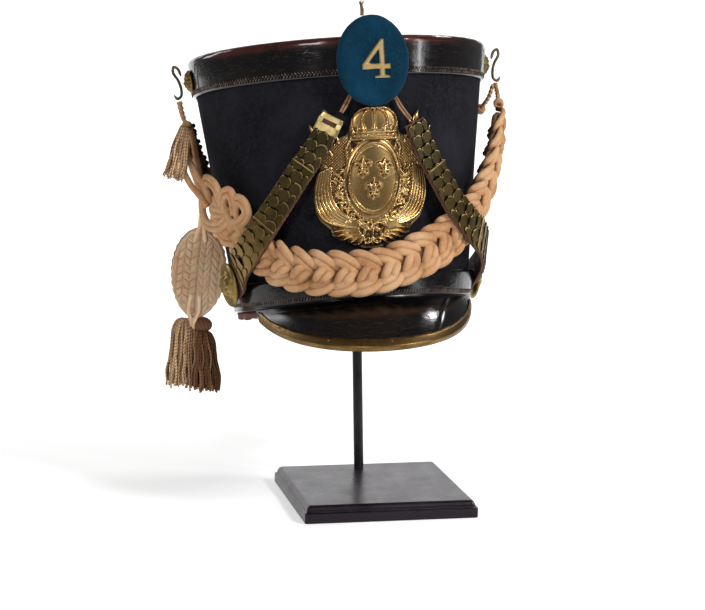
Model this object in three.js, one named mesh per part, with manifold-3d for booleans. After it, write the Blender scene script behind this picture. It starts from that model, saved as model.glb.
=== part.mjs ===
// A bell-topped felt shako with a front plate, scale chin straps, plaited cords and a pompom, on a display stand.
// Millimetres. The stand's plate is centred on the origin, its underside is at z = 0 and the hat's front faces -Y.
// The hat is built upright about its own axis, then its group is set down on the post, tipped back a little.
// On the hat, a place is an angle (degrees from the front, positive towards +X), a height z above the base, and
// an offset outwards from the smooth wall that the leather bands follow.
import * as THREE from "three";
import { mergeVertices } from "three/addons/utils/BufferGeometryUtils.js";
import Module from "manifold-3d";

const wasm = await Module();
wasm.setup();

const GAP = 0.3;

// The display stand.
const PLATE_HALF = { x: 62.75, y: 64 };
const PLATE_THICKNESS = 12.5;
const PLATE_PROFILE = table("inset z", [
  [0.8, 0],
  [0, 0.8],
  [0, 7.6],
  [1.6, 8.4],
  [4, PLATE_THICKNESS],
]);
const POST = { y: 53.3, topX: -8.8, radius: 3.6, sides: 16, capRadius: 24, capThickness: 5 };

// The hat's wall.
const HAT = { height: 186, baseX: 86.6, baseY: 101.2, rimX: 110.5, rimY: 110.5 };
const HAT_SEAT = { x: -10.3, y: 38.3, z: 138.7, tiltBack: 9.7, lean: -2.6 };
const WALL_STEPS = 40;
const FELT = { outer: -2.4, inner: -5.4, top: 182 };
const BAND_INNER = -2.1;
const TOP_BAND_FOOT = 158.5;
const LIP_FOOT = 179.5;
const CROWN_THICKNESS = 3;
const LOWER_BAND_HEIGHT = 20;
const SWEATBAND = { inner: -7.5, outer: -5.7, top: 32, drop: 6, lip: -1.6 };
const BASE_ARCH = { rise: 3, halfAngle: 62, power: 1.5 };

// The peak slopes down and forward from the arch of the base.
const PEAK = { turn: -2, forward: 36, drop: 33, thickness: 2.2, bulge: 3, rootOffset: 2.4, rootRise: 0.8, power: 0.7 };
const PEAK_STEPS = 20;
const PEAK_END = 0.975;
const TRIM = { arm: 6, metal: 0.8, nose: 1.6, armShare: 0.55 };

// The stamped front plate: half its outline, from the middle outwards, and the spear points that leave it.
const FRONT_PLATE_HALF = table("x low high", [
  [0, 38.5, 137],
  [6, 39, 136.5],
  [12, 40.5, 134],
  [17, 43, 128],
  [22, 46.5, 116],
  [28, 51, 110],
  [34, 57.5, 100],
  [39, 66, 86],
]);
const FRONT_PLATE = { back: -2, metal: 1.2, rows: 5, middle: 87, boss: 4.6, bossX: 24, bossZ: 31 };
const SPEARS = table("x z fromX fromZ", [
  [33.5, 133.5, 20, 112],
  [43.5, 124, 26, 106],
  [49, 109, 30, 98],
]);
const SPEAR = { width: 4.4, metal: 1.2 };

// The pompom and its numeral lie flat against the front, on the line of the wall.
const POMPOM = { x: 2.5, z: 167.5, halfWidth: 25.5, halfHeight: 31.5, offset: 2.6, lean: 2.7 };
const POMPOM_PROFILE = table("radius depth", [
  [0, 0],
  [21.5, 0],
  [24.6, 1.8],
  [25.5, 4.6],
  [24.2, 7.3],
  [20, 8.9],
  [0, 9.6],
]);
const NUMERAL = { x: 0.9, z: 1, thickness: 1.6, standOff: 10 };

// Chin straps: leather backings from the ties beside the pompom down to a round boss at each side.
const LEFT_STRAP = table("angle z offset width", [
  [-14, 131, 4, 17],
  [-20, 113, 4.4, 18],
  [-30, 91, 6, 19.5],
  [-39, 71, 9, 21],
  [-47, 54, 12.6, 22.5],
  [-55, 40.5, 13.4, 24],
  [-62, 32.5, 10.6, 25],
  [-70, 25.4, 3.8, 25],
  [-78, 20, 2.2, 24],
]);
const RIGHT_STRAP = table("angle z offset width", [
  [17, 124.5, 4, 17],
  [21.5, 106, 4.4, 18],
  [27.8, 85, 7, 20],
  [32.8, 68.5, 11, 22],
  [38.5, 57, 13.4, 23.5],
  [45.5, 47.5, 14.4, 25],
  [54, 40.5, 13, 26],
  [64, 34, 9.4, 26],
  [75, 27, 5.4, 26],
  [84, 20.6, 3, 25],
  [92, 15, 2.2, 24],
]);
const STRAP = { thickness: 2, step: 4 };
const SCALE = { pitch: 10.2, overhang: 2, scallop: 4, metal: 0.8, lift: 0.9, margin: 0.6, rowsInRun: 3, steps: 12 };
const CHIN_BOSS = table("radius depth", [
  [0, 0],
  [15.5, 0],
  [16.2, 1.4],
  [13.4, 2.6],
  [12.4, 2.2],
  [9.6, 4.8],
  [5, 6.4],
  [0, 6.8],
]);
const CHIN_BOSS_OFFSET = 5.2;

// The side bosses on the top band, and the open S of wire that hangs on each.
const HOOK_BOSS = table("radius depth", [
  [0, 0],
  [8, 0],
  [8.4, 1.4],
  [6, 3.4],
  [3, 4.8],
  [0, 5],
]);
const HOOK_ROUTE = table("offset z", [
  [6.9, 4],
  [8.4, 9.6],
  [11, 11],
  [12.2, 7],
  [9.6, 1],
  [8.6, -5],
  [9.6, -10.4],
  [12.6, -12.3],
  [14.6, -9.4],
]);
const HOOK_WIRE_RADIUS = 1.1;

// Cords. The front plait and the back plait are flat; the rest are round or a flat run of strands.
const FRONT_PLAIT = table("angle z offset width", [
  [-89, 87, 6.2, 22],
  [-86, 78, 5.2, 29],
  [-75, 68, 4.6, 31],
  [-66, 58, 4.6, 31],
  [-58, 50, 4.6, 31],
  [-51, 42, 5, 31],
  [-43, 33, 7, 31],
  [-30, 25, 7.2, 31],
  [-14, 22, 7.2, 31],
  [0, 23, 7.2, 31],
  [16, 31, 7, 31],
  [28, 40, 5.5, 31],
  [37, 48, 4.8, 31],
  [46, 57, 5, 31],
  [54, 68, 6.5, 31],
  [60, 82, 9, 31],
  [65, 100, 11.5, 30],
  [68, 116, 12.5, 29],
  [71, 129, 12.5, 25],
  [76, 140, 12.5, 17],
]);
const BACK_PLAIT = table("angle z offset width", [
  [-100, 138, 8, 12],
  [-105, 124, 6.8, 22],
  [-113, 104, 6, 27],
  [-124, 86, 5, 27],
  [-139, 70, 4.8, 27],
  [-158, 60, 4.8, 27],
  [-179, 56, 4.8, 27],
  [-201, 60, 4.8, 27],
  [-220, 70, 4.8, 27],
  [-235, 86, 5, 27],
  [-246, 104, 6, 27],
  [-255, 125, 6.8, 22],
  [-261, 140, 8, 12],
]);
const SIDE_CORDS = table("angle z offset width", [
  [-88, 134, 10, 11],
  [-89, 124, 9.4, 14],
  [-90, 113, 8.6, 15],
  [-90, 102, 7.4, 16],
  [-89.5, 91.4, 6.6, 18],
]);
const FRONT_PLAIT_SIZE = { thickness: 12, step: 12 };
const BACK_PLAIT_SIZE = { thickness: 11, step: 14 };
const SIDE_CORDS_SIZE = { thickness: 7, step: 8 };
const STRINGS = {
  left: [
    [-89, 155.6, 11.6],
    [-89, 146, 11.4],
    [-88, 135, 10.4],
  ],
  right: [
    [86.5, 157.6, 11.6],
    [83, 149, 12.4],
    [77, 141, 12.6],
  ],
  back_left: [
    [-92.5, 155.6, 11.6],
    [-95, 147, 10.6],
    [-99.5, 139, 8.4],
  ],
  back_right: [
    [90, 157.6, 11.6],
    [93, 149, 10.6],
    [98.5, 141, 8.4],
  ],
};
const CORD_SIDES = 10;
const STRING_RADIUS = 1.9;

// What hangs at the left, plumb below the plait's left end.
const RAQUETTE = { top: [-119.6, 52.3, 195.6], foot: [-125.8, 52.3, 128.6], halfWidth: 22, halfThickness: 4.5 };
const RAQUETTE_TURN = -20;
const TASSEL_PROFILE = table("radius drop", [
  [0, 0],
  [6, 0.6],
  [12.5, 4],
  [15, 11],
  [15.5, 19],
  [17, 30],
  [20, 44],
  [22.5, 52.6],
  [20.5, 54],
  [0, 54],
]);
const TASSEL = { top: [-126, 52.3, 128.1], flatness: 0.74 };
const SMALL_TASSEL_PROFILE = table("radius drop", [
  [0, 0],
  [3.6, 0.8],
  [5, 6],
  [4.6, 12],
  [7, 24],
  [9.8, 40],
  [8, 42],
  [0, 42],
]);
const SMALL_TASSEL = { top: { angle: -82, z: 137, offset: 14.6 }, swing: 15 };

// Colour, roughness and metalness of each finish.
const FINISHES = {
  felt: [0x17181a, 0.95, 0],
  blackLeather: [0x100e0e, 0.3, 0],
  brownLeather: [0x4c2018, 0.7, 0],
  brass: [0x9c7b3a, 0.35, 1],
  blueWool: [0x1d4a5e, 0.95, 0],
  cord: [0xd9a878, 0.9, 0],
  lacquer: [0x1a1216, 0.35, 0],
  blackMetal: [0x141314, 0.45, 0.6],
};

// One object a row, so that a table's columns have names.
function table(columns, rows) {
  const names = columns.split(" ");
  return rows.map((row) => Object.fromEntries(names.map((name, i) => [name, row[i]])));
}

function piece(name, finish, geometry) {
  const [color, roughness, metalness] = FINISHES[finish];
  const mesh = new THREE.Mesh(geometry, new THREE.MeshStandardMaterial({ color, roughness, metalness }));
  mesh.name = name;
  return mesh;
}

function range(count) {
  return Array.from({ length: count }, (_, i) => i);
}

// A closed solid through matching rings of points: its ends are capped, or the last ring meets the first.
function loft(rings, looped = false) {
  const size = rings[0].length;
  const positions = rings.flat().flatMap((p) => [p.x, p.y, p.z]);
  const index = [];
  const bands = looped ? rings.length : rings.length - 1;
  for (let r = 0; r < bands; r += 1) {
    const near = r * size;
    const far = ((r + 1) % rings.length) * size;
    for (let i = 0; i < size; i += 1) {
      const next = (i + 1) % size;
      index.push(near + i, near + next, far + next, near + i, far + next, far + i);
    }
  }
  if (!looped) {
    const first = capOf(rings[0]);
    const last = capOf(rings[rings.length - 1]);
    const lastStart = (rings.length - 1) * size;
    first.forEach(([a, b, c]) => index.push(c, b, a));
    last.forEach(([a, b, c]) => index.push(lastStart + a, lastStart + b, lastStart + c));
  }
  const geometry = new THREE.BufferGeometry();
  geometry.setAttribute("position", new THREE.Float32BufferAttribute(positions, 3));
  geometry.setIndex(signedVolume(positions, index) < 0 ? index.slice().reverse() : index);
  geometry.computeVertexNormals();
  return geometry;
}

// The triangles of a flat outline, wound the way its points run.
function capOf(ring) {
  const centre = ring.reduce((sum, p) => sum.add(p), new THREE.Vector3()).divideScalar(ring.length);
  const normal = new THREE.Vector3();
  ring.forEach((p, i) => {
    const q = ring[(i + 1) % ring.length];
    normal.add(p.clone().sub(centre).cross(q.clone().sub(centre)));
  });
  normal.normalize();
  const side = ring[0].clone().sub(centre);
  side.addScaledVector(normal, -side.dot(normal)).normalize();
  const up = normal.clone().cross(side);
  const flat = ring.map((p) => {
    const from = p.clone().sub(centre);
    return new THREE.Vector2(from.dot(side), from.dot(up));
  });
  return THREE.ShapeUtils.triangulateShape(flat, []);
}

function signedVolume(positions, index) {
  const at = (i) => new THREE.Vector3().fromArray(positions, 3 * i);
  let total = 0;
  for (let i = 0; i < index.length; i += 3) {
    total += at(index[i]).dot(at(index[i + 1]).cross(at(index[i + 2])));
  }
  return total;
}

// Several closed geometries as one.
function unite(geometries) {
  const solids = geometries.map((geometry) => {
    const bare = geometry.clone();
    bare.deleteAttribute("normal");
    bare.deleteAttribute("uv");
    const merged = mergeVertices(bare, 1e-4);
    return new wasm.Manifold(
      new wasm.Mesh({
        numProp: 3,
        vertProperties: new Float32Array(merged.attributes.position.array),
        triVerts: new Uint32Array(merged.index.array),
      }),
    );
  });
  const mesh = wasm.Manifold.union(solids).getMesh();
  const geometry = new THREE.BufferGeometry();
  geometry.setAttribute("position", new THREE.BufferAttribute(mesh.vertProperties, 3));
  geometry.setIndex(new THREE.BufferAttribute(mesh.triVerts, 1));
  geometry.computeVertexNormals();
  return geometry;
}

// --- The hat's wall ---

function halfX(z) {
  return THREE.MathUtils.mapLinear(z, 0, HAT.height, HAT.baseX, HAT.rimX);
}

function halfY(z) {
  return THREE.MathUtils.mapLinear(z, 0, HAT.height, HAT.baseY, HAT.rimY);
}

function wallPoint(angle, z, offset) {
  const turn = THREE.MathUtils.degToRad(angle);
  return new THREE.Vector3((halfX(z) + offset) * Math.sin(turn), -(halfY(z) + offset) * Math.cos(turn), z);
}

function wallNormal(angle) {
  const turn = THREE.MathUtils.degToRad(angle);
  const flareX = (HAT.rimX - HAT.baseX) / HAT.height;
  const flareY = (HAT.rimY - HAT.baseY) / HAT.height;
  const flare = flareX * Math.sin(turn) ** 2 + flareY * Math.cos(turn) ** 2;
  const level = new THREE.Vector3(Math.sin(turn) / HAT.baseX, -Math.cos(turn) / HAT.baseY, 0).normalize();
  return level.setZ(-flare).normalize();
}

// The base edge arches up over the forehead.
function baseEdge(angle) {
  const share = Math.abs(angle) / BASE_ARCH.halfAngle;
  return share >= 1 ? 0 : BASE_ARCH.rise * Math.cos((share * Math.PI) / 2) ** BASE_ARCH.power;
}

// A ring around the hat: profile(angle) lists the section's corners as [offset, z].
function wallRing(profile) {
  const rings = range(WALL_STEPS).map((i) => {
    const angle = (360 * i) / WALL_STEPS;
    const fromFront = angle > 180 ? angle - 360 : angle;
    return profile(fromFront).map(([offset, z]) => wallPoint(angle, z, offset));
  });
  return loft(rings, true);
}

function feltBody() {
  return wallRing((angle) => {
    const foot = baseEdge(angle);
    return [
      [FELT.inner, foot],
      [FELT.outer, foot],
      [FELT.outer, FELT.top],
      [FELT.inner, FELT.top],
    ];
  });
}

function crownTop() {
  const upper = LIP_FOOT - GAP;
  const rings = [upper - CROWN_THICKNESS, upper].map((z) =>
    range(WALL_STEPS).map((i) => wallPoint((360 * i) / WALL_STEPS, z, FELT.inner - 2 * GAP)),
  );
  return loft(rings);
}

// The top band runs up the wall, rolls over the felt's edge and ends in a short lip inside.
function topBand() {
  const underRoll = FELT.top + GAP;
  const lipOuter = FELT.inner - GAP;
  return wallRing(() => [
    [BAND_INNER, TOP_BAND_FOOT],
    [0, TOP_BAND_FOOT + 0.4],
    [0, 181.6],
    [-1.9, 185.2],
    [-3.9, HAT.height],
    [-5.9, 185.2],
    [-7.8, 181.6],
    [-7.8, LIP_FOOT],
    [lipOuter, LIP_FOOT],
    [lipOuter, underRoll],
    [BAND_INNER, underRoll],
  ]);
}

function lowerBand() {
  return wallRing((angle) => {
    const foot = baseEdge(angle);
    const top = LOWER_BAND_HEIGHT + 0.4 * foot;
    return [
      [BAND_INNER, foot],
      [0, foot],
      [0, top],
      [BAND_INNER, top],
    ];
  });
}

// The sweatband lines the foot of the wall and shows as a rough edge below it.
function sweatband() {
  return wallRing((angle) => {
    const foot = baseEdge(angle);
    return [
      [SWEATBAND.inner, foot - SWEATBAND.drop],
      [SWEATBAND.lip, foot - SWEATBAND.drop + 0.5],
      [SWEATBAND.lip, foot - GAP],
      [SWEATBAND.outer, foot - GAP],
      [SWEATBAND.outer, SWEATBAND.top],
      [SWEATBAND.inner, SWEATBAND.top],
    ];
  });
}

// --- The peak ---

function peakReach(t) {
  return (1 - t * t) ** PEAK.power;
}

// A point of the peak's upper face: t runs from its left end to its right end, s from the root to the edge.
function peakPoint(t, s) {
  const angle = PEAK.turn + t * BASE_ARCH.halfAngle;
  const reach = peakReach(t);
  const length = Math.hypot(PEAK.forward, PEAK.drop);
  const rise = (PEAK.bulge * Math.sin(Math.PI * s) * reach) / length;
  return wallPoint(angle, baseEdge(angle) + PEAK.rootRise, PEAK.rootOffset).add(
    new THREE.Vector3(
      0,
      -PEAK.forward * reach * s - PEAK.drop * rise,
      -PEAK.drop * reach * s + PEAK.forward * rise,
    ),
  );
}

function peakSteps(end) {
  return range(PEAK_STEPS + 1).map((i) => Math.sin((((2 * i) / PEAK_STEPS - 1) * Math.PI) / 2) * end);
}

function peak() {
  const down = new THREE.Vector3(0, PEAK.drop, -PEAK.forward).normalize().multiplyScalar(PEAK.thickness);
  const rings = peakSteps(PEAK_END).map((t) => {
    const upper = [0, 1 / 3, 2 / 3, 1].map((s) => peakPoint(t, s));
    const lower = upper.map((p) => p.clone().add(down)).reverse();
    return [...upper, ...lower];
  });
  return loft(rings);
}

// A folded brass strip that grips the peak's edge from end to end.
function peakTrim() {
  const down = new THREE.Vector3(0, PEAK.drop, -PEAK.forward).normalize();
  const steps = peakSteps(PEAK_END).slice(1, -1);
  const rings = steps.map((t) => {
    const edge = peakPoint(t, 1);
    const out = edge.clone().sub(peakPoint(t, 2 / 3)).normalize();
    const arm = Math.min(TRIM.arm, TRIM.armShare * Math.hypot(PEAK.forward, PEAK.drop) * peakReach(t));
    const inner = [1.4 * GAP, -PEAK.thickness - 1.4 * GAP];
    const outer = [inner[0] + TRIM.metal, inner[1] - TRIM.metal];
    const section = [
      [-arm, inner[0]],
      [-arm, outer[0]],
      [GAP + 0.4, outer[0]],
      [TRIM.nose, (outer[0] + outer[1]) / 2],
      [GAP + 0.4, outer[1]],
      [-arm, outer[1]],
      [-arm, inner[1]],
      [GAP, inner[1]],
      [GAP, inner[0]],
    ];
    return section.map(([o, n]) => edge.clone().addScaledVector(out, o).addScaledVector(down, -n));
  });
  return loft(rings);
}

// --- The front plate ---

function frontPoint(x, z, offset) {
  const angle = THREE.MathUtils.radToDeg(Math.asin(x / (halfX(z) + offset)));
  return wallPoint(angle, z, offset);
}

// A rounded boss in the middle of the plate, that fades to the flat metal.
function plateRelief(x, z) {
  const away = Math.hypot(x / FRONT_PLATE.bossX, (z - FRONT_PLATE.middle) / FRONT_PLATE.bossZ);
  return away >= 1 ? 0 : FRONT_PLATE.boss * Math.cos((away * Math.PI) / 2) ** 1.2;
}

function plateSheet() {
  const left = FRONT_PLATE_HALF.slice(1).reverse().map((row) => ({ ...row, x: -row.x }));
  const columns = [...left, ...FRONT_PLATE_HALF];
  const rings = columns.map(({ x, low, high }) => {
    const heights = range(FRONT_PLATE.rows + 1).map((i) => low + ((high - low) * i) / FRONT_PLATE.rows);
    const face = FRONT_PLATE.back + FRONT_PLATE.metal;
    const front = heights.map((z) => frontPoint(x, z, face + plateRelief(x, z)));
    const back = heights.map((z) => frontPoint(x, z, FRONT_PLATE.back)).reverse();
    return [...front, ...back];
  });
  return loft(rings);
}

// One thin spear from the plate's sheet out to its point.
function spear({ x, z, fromX, fromZ }) {
  const steps = [0, 0.35, 0.7, 0.88, 1];
  const breadths = [0.5, 0.5, 0.5, 1, 0.12];
  const rings = steps.map((s, i) => {
    const half = (SPEAR.width / 2) * breadths[i];
    const across = new THREE.Vector2(z - fromZ, fromX - x).setLength(half);
    const centre = new THREE.Vector2(THREE.MathUtils.lerp(fromX, x, s), THREE.MathUtils.lerp(fromZ, z, s));
    const corner = (side, offset) => frontPoint(centre.x + side * across.x, centre.y + side * across.y, offset);
    const front = FRONT_PLATE.back + SPEAR.metal;
    return [corner(-1, FRONT_PLATE.back), corner(1, FRONT_PLATE.back), corner(1, front), corner(-1, front)];
  });
  return loft(rings);
}

function frontPlate() {
  const spears = SPEARS.flatMap((row) => [row, { ...row, x: -row.x, fromX: -row.fromX }]).map(spear);
  return unite([plateSheet(), ...spears]);
}

// --- Round pieces that face out of the wall ---

// A turned piece, with its back on the plane y = 0 and its front towards -Y.
function turnedFront(profile, sides) {
  const outline = profile.map(({ radius, depth }) => new THREE.Vector2(radius, depth));
  return new THREE.LatheGeometry(outline, sides).rotateX(Math.PI);
}

// Sets a mesh on the wall so that its back lies on the wall and its front looks out.
function setOnWall(mesh, angle, z, offset) {
  const out = wallNormal(angle);
  const across = new THREE.Vector3(0, 0, 1).cross(out).normalize();
  const up = out.clone().cross(across);
  mesh.quaternion.setFromRotationMatrix(new THREE.Matrix4().makeBasis(across, out.clone().negate(), up));
  mesh.position.copy(wallPoint(angle, z, offset));
  return mesh;
}

function pompomGroup() {
  const group = new THREE.Group();
  group.position.copy(frontPoint(POMPOM.x, POMPOM.z, POMPOM.offset));
  group.rotation.x = THREE.MathUtils.degToRad(POMPOM.lean);
  const radius = POMPOM_PROFILE.reduce((widest, row) => Math.max(widest, row.radius), 0);
  const disc = turnedFront(POMPOM_PROFILE, 24);
  disc.scale(POMPOM.halfWidth / radius, 1, POMPOM.halfHeight / radius);
  group.add(piece("pompom", "blueWool", disc));
  const numeral = piece("pompom_numeral", "brass", numeralFour());
  numeral.position.set(NUMERAL.x, -NUMERAL.standOff, NUMERAL.z);
  group.add(numeral);
  const tip = piece("pompom_tip", "brownLeather", tipTwist());
  tip.position.set(-6, -4.8, POMPOM.halfHeight + GAP - 0.6);
  group.add(tip);
  return group;
}

// The figure 4 with small serifs, upright in the XZ plane, its front towards -Y.
function numeralFour() {
  const outline = [
    [-9.8, -3.8],
    [3.8, 13.3],
    [6.2, 13.3],
    [6.2, -3.6],
    [10.2, -3.6],
    [10.2, -7.2],
    [6.2, -7.2],
    [6.2, -11.3],
    [9.4, -12.1],
    [9.4, -13.3],
    [-1, -13.3],
    [-1, -12.1],
    [2.2, -11.3],
    [2.2, -7.2],
    [-9.8, -7.2],
  ];
  const opening = [
    [2.4, 6.1],
    [-5.4, -3.4],
    [2.4, -3.4],
  ];
  const shape = new THREE.Shape(outline.map(([x, z]) => new THREE.Vector2(x, z)));
  shape.holes.push(new THREE.Path(opening.map(([x, z]) => new THREE.Vector2(x, z))));
  const solid = new THREE.ExtrudeGeometry(shape, { depth: NUMERAL.thickness, bevelEnabled: false });
  return solid.rotateX(Math.PI / 2);
}

// The stub of a twisted tuft that stands on the pompom.
function tipTwist() {
  const curve = new THREE.CatmullRomCurve3([
    new THREE.Vector3(0, 0, 0),
    new THREE.Vector3(-0.5, 0, 5.5),
    new THREE.Vector3(0.6, 0, 11),
  ]);
  return roundTube(curve, 1.5, 4);
}

// --- Straps, scales and cords: sections swept along a route on the wall ---

function routeOn(rows) {
  const points = rows.map(({ angle, z, offset }) => wallPoint(angle, z, offset));
  const curve = new THREE.CatmullRomCurve3(points, false, "centripetal");
  const length = curve.getLength();
  const column = (t, name) => {
    const place = t * (rows.length - 1);
    const before = Math.min(Math.floor(place), rows.length - 2);
    return THREE.MathUtils.lerp(rows[before][name], rows[before + 1][name], place - before);
  };
  const at = (distance) => {
    const u = THREE.MathUtils.clamp(distance / length, 0, 1);
    const t = curve.getUtoTmapping(u);
    const along = curve.getTangent(t);
    const out = wallNormal(column(t, "angle"));
    out.addScaledVector(along, -out.dot(along)).normalize();
    const across = along.clone().cross(out);
    return { point: curve.getPoint(t), along, out, across, width: column(t, "width") };
  };
  return { length, at };
}

// A place beside a route: u across it and n outwards from it.
function beside(route, distance, u, n) {
  const { point, out, across } = route.at(distance);
  return point.addScaledVector(across, u).addScaledVector(out, n);
}

function strapLeather(route) {
  const steps = Math.ceil(route.length / STRAP.step);
  const half = STRAP.thickness / 2;
  const rings = range(steps + 1).map((i) => {
    const distance = (route.length * i) / steps;
    const side = route.at(distance).width / 2;
    return [
      beside(route, distance, -side, -half),
      beside(route, distance, side, -half),
      beside(route, distance, side, half),
      beside(route, distance, -side, half),
    ];
  });
  return loft(rings);
}

// How far across a scalloped edge a share of the width lies: 0 in a notch, 1 at the crest of a lobe.
function scallop(share, lobes) {
  const inLobe = (share * lobes) % 1;
  return Math.sqrt(Math.max(0, 1 - (2 * inLobe - 1) ** 2));
}

// A run of scale rows as one plate. Each row rises from its foot to a scalloped edge that overhangs the next row.
function scaleRun(route, foot, firstRow, rows) {
  const face = STRAP.thickness / 2 + 1.5 * GAP;
  const low = face + SCALE.metal;
  const high = low + SCALE.lift;
  const rings = range(SCALE.steps + 1).map((i) => {
    const share = i / SCALE.steps;
    const place = (distance, n) => {
      const side = route.at(distance).width / 2 - SCALE.margin;
      return beside(route, distance, (2 * share - 1) * side, n);
    };
    const top = [];
    const under = [];
    let edge = foot - firstRow * SCALE.pitch;
    range(rows).forEach((k) => {
      const start = foot - (firstRow + k) * SCALE.pitch;
      const reach = k === rows - 1 ? SCALE.pitch - GAP : SCALE.pitch + SCALE.overhang;
      const lobes = (firstRow + k) % 2 ? 2 : 3;
      top.push(place(edge, low));
      edge = start - reach + SCALE.scallop * (1 - scallop(share, lobes));
      top.push(place(edge, high));
      under.push(place(start, face));
    });
    under.push(place(edge, face));
    return [...top, ...under.reverse()];
  });
  return loft(rings);
}

// The rows of one strap in runs, from the boss end at `foot` towards the tip.
function scaleRuns(route, start, foot) {
  const rows = Math.floor((foot - start) / SCALE.pitch);
  const runs = Math.ceil(rows / SCALE.rowsInRun);
  return range(runs).map((run) => {
    const firstRow = run * SCALE.rowsInRun;
    return scaleRun(route, foot, firstRow, Math.min(SCALE.rowsInRun, rows - firstRow));
  });
}

// The brass plate with a slot that ends the left strap.
function slottedEnd(route, from, to, slot) {
  const near = STRAP.thickness / 2 + GAP;
  const far = near + 1.3;
  const side = route.at(from).width / 2;
  const bar = (u0, u1, d0, d1) =>
    loft(
      [d0, (d0 + d1) / 2, d1].map((distance) => [
        beside(route, distance, u0, near),
        beside(route, distance, u1, near),
        beside(route, distance, u1, far),
        beside(route, distance, u0, far),
      ]),
    );
  const slotFrom = from + 4;
  const slotTo = slotFrom + slot.length;
  return unite([
    bar(-side, side, from, slotFrom),
    bar(-side, side, slotTo, to),
    bar(-side, -slot.half, slotFrom - 0.5, slotTo + 0.5),
    bar(slot.half, side, slotFrom - 0.5, slotTo + 0.5),
  ]);
}

// A flat cord: an oval section that keeps its broad face to the wall.
function flatCord(rows, { thickness, step }) {
  const route = routeOn(rows);
  const steps = Math.ceil(route.length / step);
  const rings = range(steps + 1).map((i) => {
    const distance = (route.length * i) / steps;
    const { width } = route.at(distance);
    return range(CORD_SIDES).map((k) => {
      const turn = (2 * Math.PI * k) / CORD_SIDES;
      return beside(route, distance, (Math.cos(turn) * width) / 2, (Math.sin(turn) * thickness) / 2);
    });
  });
  return loft(rings);
}

// A tube with eight sides.
function roundTube(curve, radius, steps) {
  const section = new THREE.Shape();
  section.absarc(0, 0, radius, 0, 2 * Math.PI);
  return new THREE.ExtrudeGeometry(section, { steps, extrudePath: curve, curveSegments: 4 });
}

// A turned piece that hangs from the origin, down along -Z.
function turnedDown(profile, sides) {
  const outline = profile.map(({ radius, drop }) => new THREE.Vector2(radius, -drop)).reverse();
  return new THREE.LatheGeometry(outline, sides).rotateX(Math.PI / 2);
}

// --- Groups ---

function standGroup(seat) {
  const group = new THREE.Group();
  const plateRings = PLATE_PROFILE.map(({ inset, z }) => {
    const x = PLATE_HALF.x - inset;
    const y = PLATE_HALF.y - inset;
    return [
      [-x, -y],
      [x, -y],
      [x, y],
      [-x, y],
    ].map(([px, py]) => new THREE.Vector3(px, py, z));
  });
  group.add(piece("stand_plate", "lacquer", loft(plateRings)));

  const cap = new THREE.CylinderGeometry(POST.capRadius, POST.capRadius, POST.capThickness, 24);
  cap.rotateX(Math.PI / 2);
  cap.applyQuaternion(seat.quaternion);
  const centre = postTop(seat).addScaledVector(axisOf(seat), -GAP - POST.capThickness / 2);
  cap.translate(centre.x, centre.y, centre.z);
  group.add(piece("stand_post", "blackMetal", unite([cap, postRod(centre)])));
  return group;
}

// A level-ended rod from the plate's face to the cap, which stands a little off plumb, as the hat does.
function postRod(top) {
  const foot = new THREE.Vector3(0, POST.y, PLATE_THICKNESS + GAP);
  const rings = [foot, top].map((centre) =>
    range(POST.sides).map((i) => {
      const turn = (2 * Math.PI * i) / POST.sides;
      const spoke = new THREE.Vector3(Math.cos(turn), Math.sin(turn), 0).multiplyScalar(POST.radius);
      return centre.clone().add(spoke);
    }),
  );
  return loft(rings);
}

function axisOf(seat) {
  return new THREE.Vector3(0, 0, 1).applyQuaternion(seat.quaternion);
}

// Where the post meets the underside of the hat's crown.
function postTop(seat) {
  const axis = axisOf(seat);
  const under = seat.position.clone().addScaledVector(axis, LIP_FOOT - GAP - CROWN_THICKNESS);
  const level = axis.x * (under.x - POST.topX) + axis.y * (under.y - POST.y) + axis.z * under.z;
  return new THREE.Vector3(POST.topX, POST.y, level / axis.z);
}

function bodyGroup() {
  const group = new THREE.Group();
  group.add(piece("felt_body", "felt", feltBody()));
  group.add(piece("crown_top", "blackLeather", crownTop()));
  group.add(piece("top_band", "blackLeather", topBand()));
  group.add(piece("lower_band", "blackLeather", lowerBand()));
  group.add(piece("sweatband", "brownLeather", sweatband()));
  group.add(piece("peak", "blackLeather", peak()));
  group.add(piece("peak_trim", "brass", peakTrim()));
  group.add(piece("front_plate", "brass", frontPlate()));
  return group;
}

function strapGroup(side, rows, start, boss) {
  const group = new THREE.Group();
  const route = routeOn(rows);
  group.add(piece(`strap_${side}`, "brownLeather", strapLeather(route)));
  const foot = route.length - CHIN_BOSS[2].radius - 1;
  scaleRuns(route, start, foot).forEach((geometry, i) => {
    group.add(piece(`scales_${side}_${i + 1}`, "brass", geometry));
  });
  const disc = piece(`chin_boss_${side}`, "brass", turnedFront(CHIN_BOSS, 20));
  group.add(setOnWall(disc, boss.angle, boss.z, CHIN_BOSS_OFFSET));
  return group;
}

// A boss on the top band and the S of wire on it.
function hookGroup(side, angle, z) {
  const group = new THREE.Group();
  const boss = piece(`hook_boss_${side}`, "brass", turnedFront(HOOK_BOSS, 14));
  group.add(setOnWall(boss, angle, z, GAP));
  const wire = new THREE.CatmullRomCurve3(HOOK_ROUTE.map((row) => wallPoint(angle, z + row.z, row.offset)));
  group.add(piece(`hook_${side}`, "brass", roundTube(wire, HOOK_WIRE_RADIUS, 14)));
  return group;
}

function thong(name, rows) {
  const route = routeOn(rows);
  const rings = range(5).map((i) => {
    const distance = (route.length * i) / 4;
    return [
      beside(route, distance, -1.6, -0.6),
      beside(route, distance, 1.6, -0.6),
      beside(route, distance, 1.6, 0.6),
      beside(route, distance, -1.6, 0.6),
    ];
  });
  return piece(name, "brownLeather", loft(rings));
}

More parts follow.
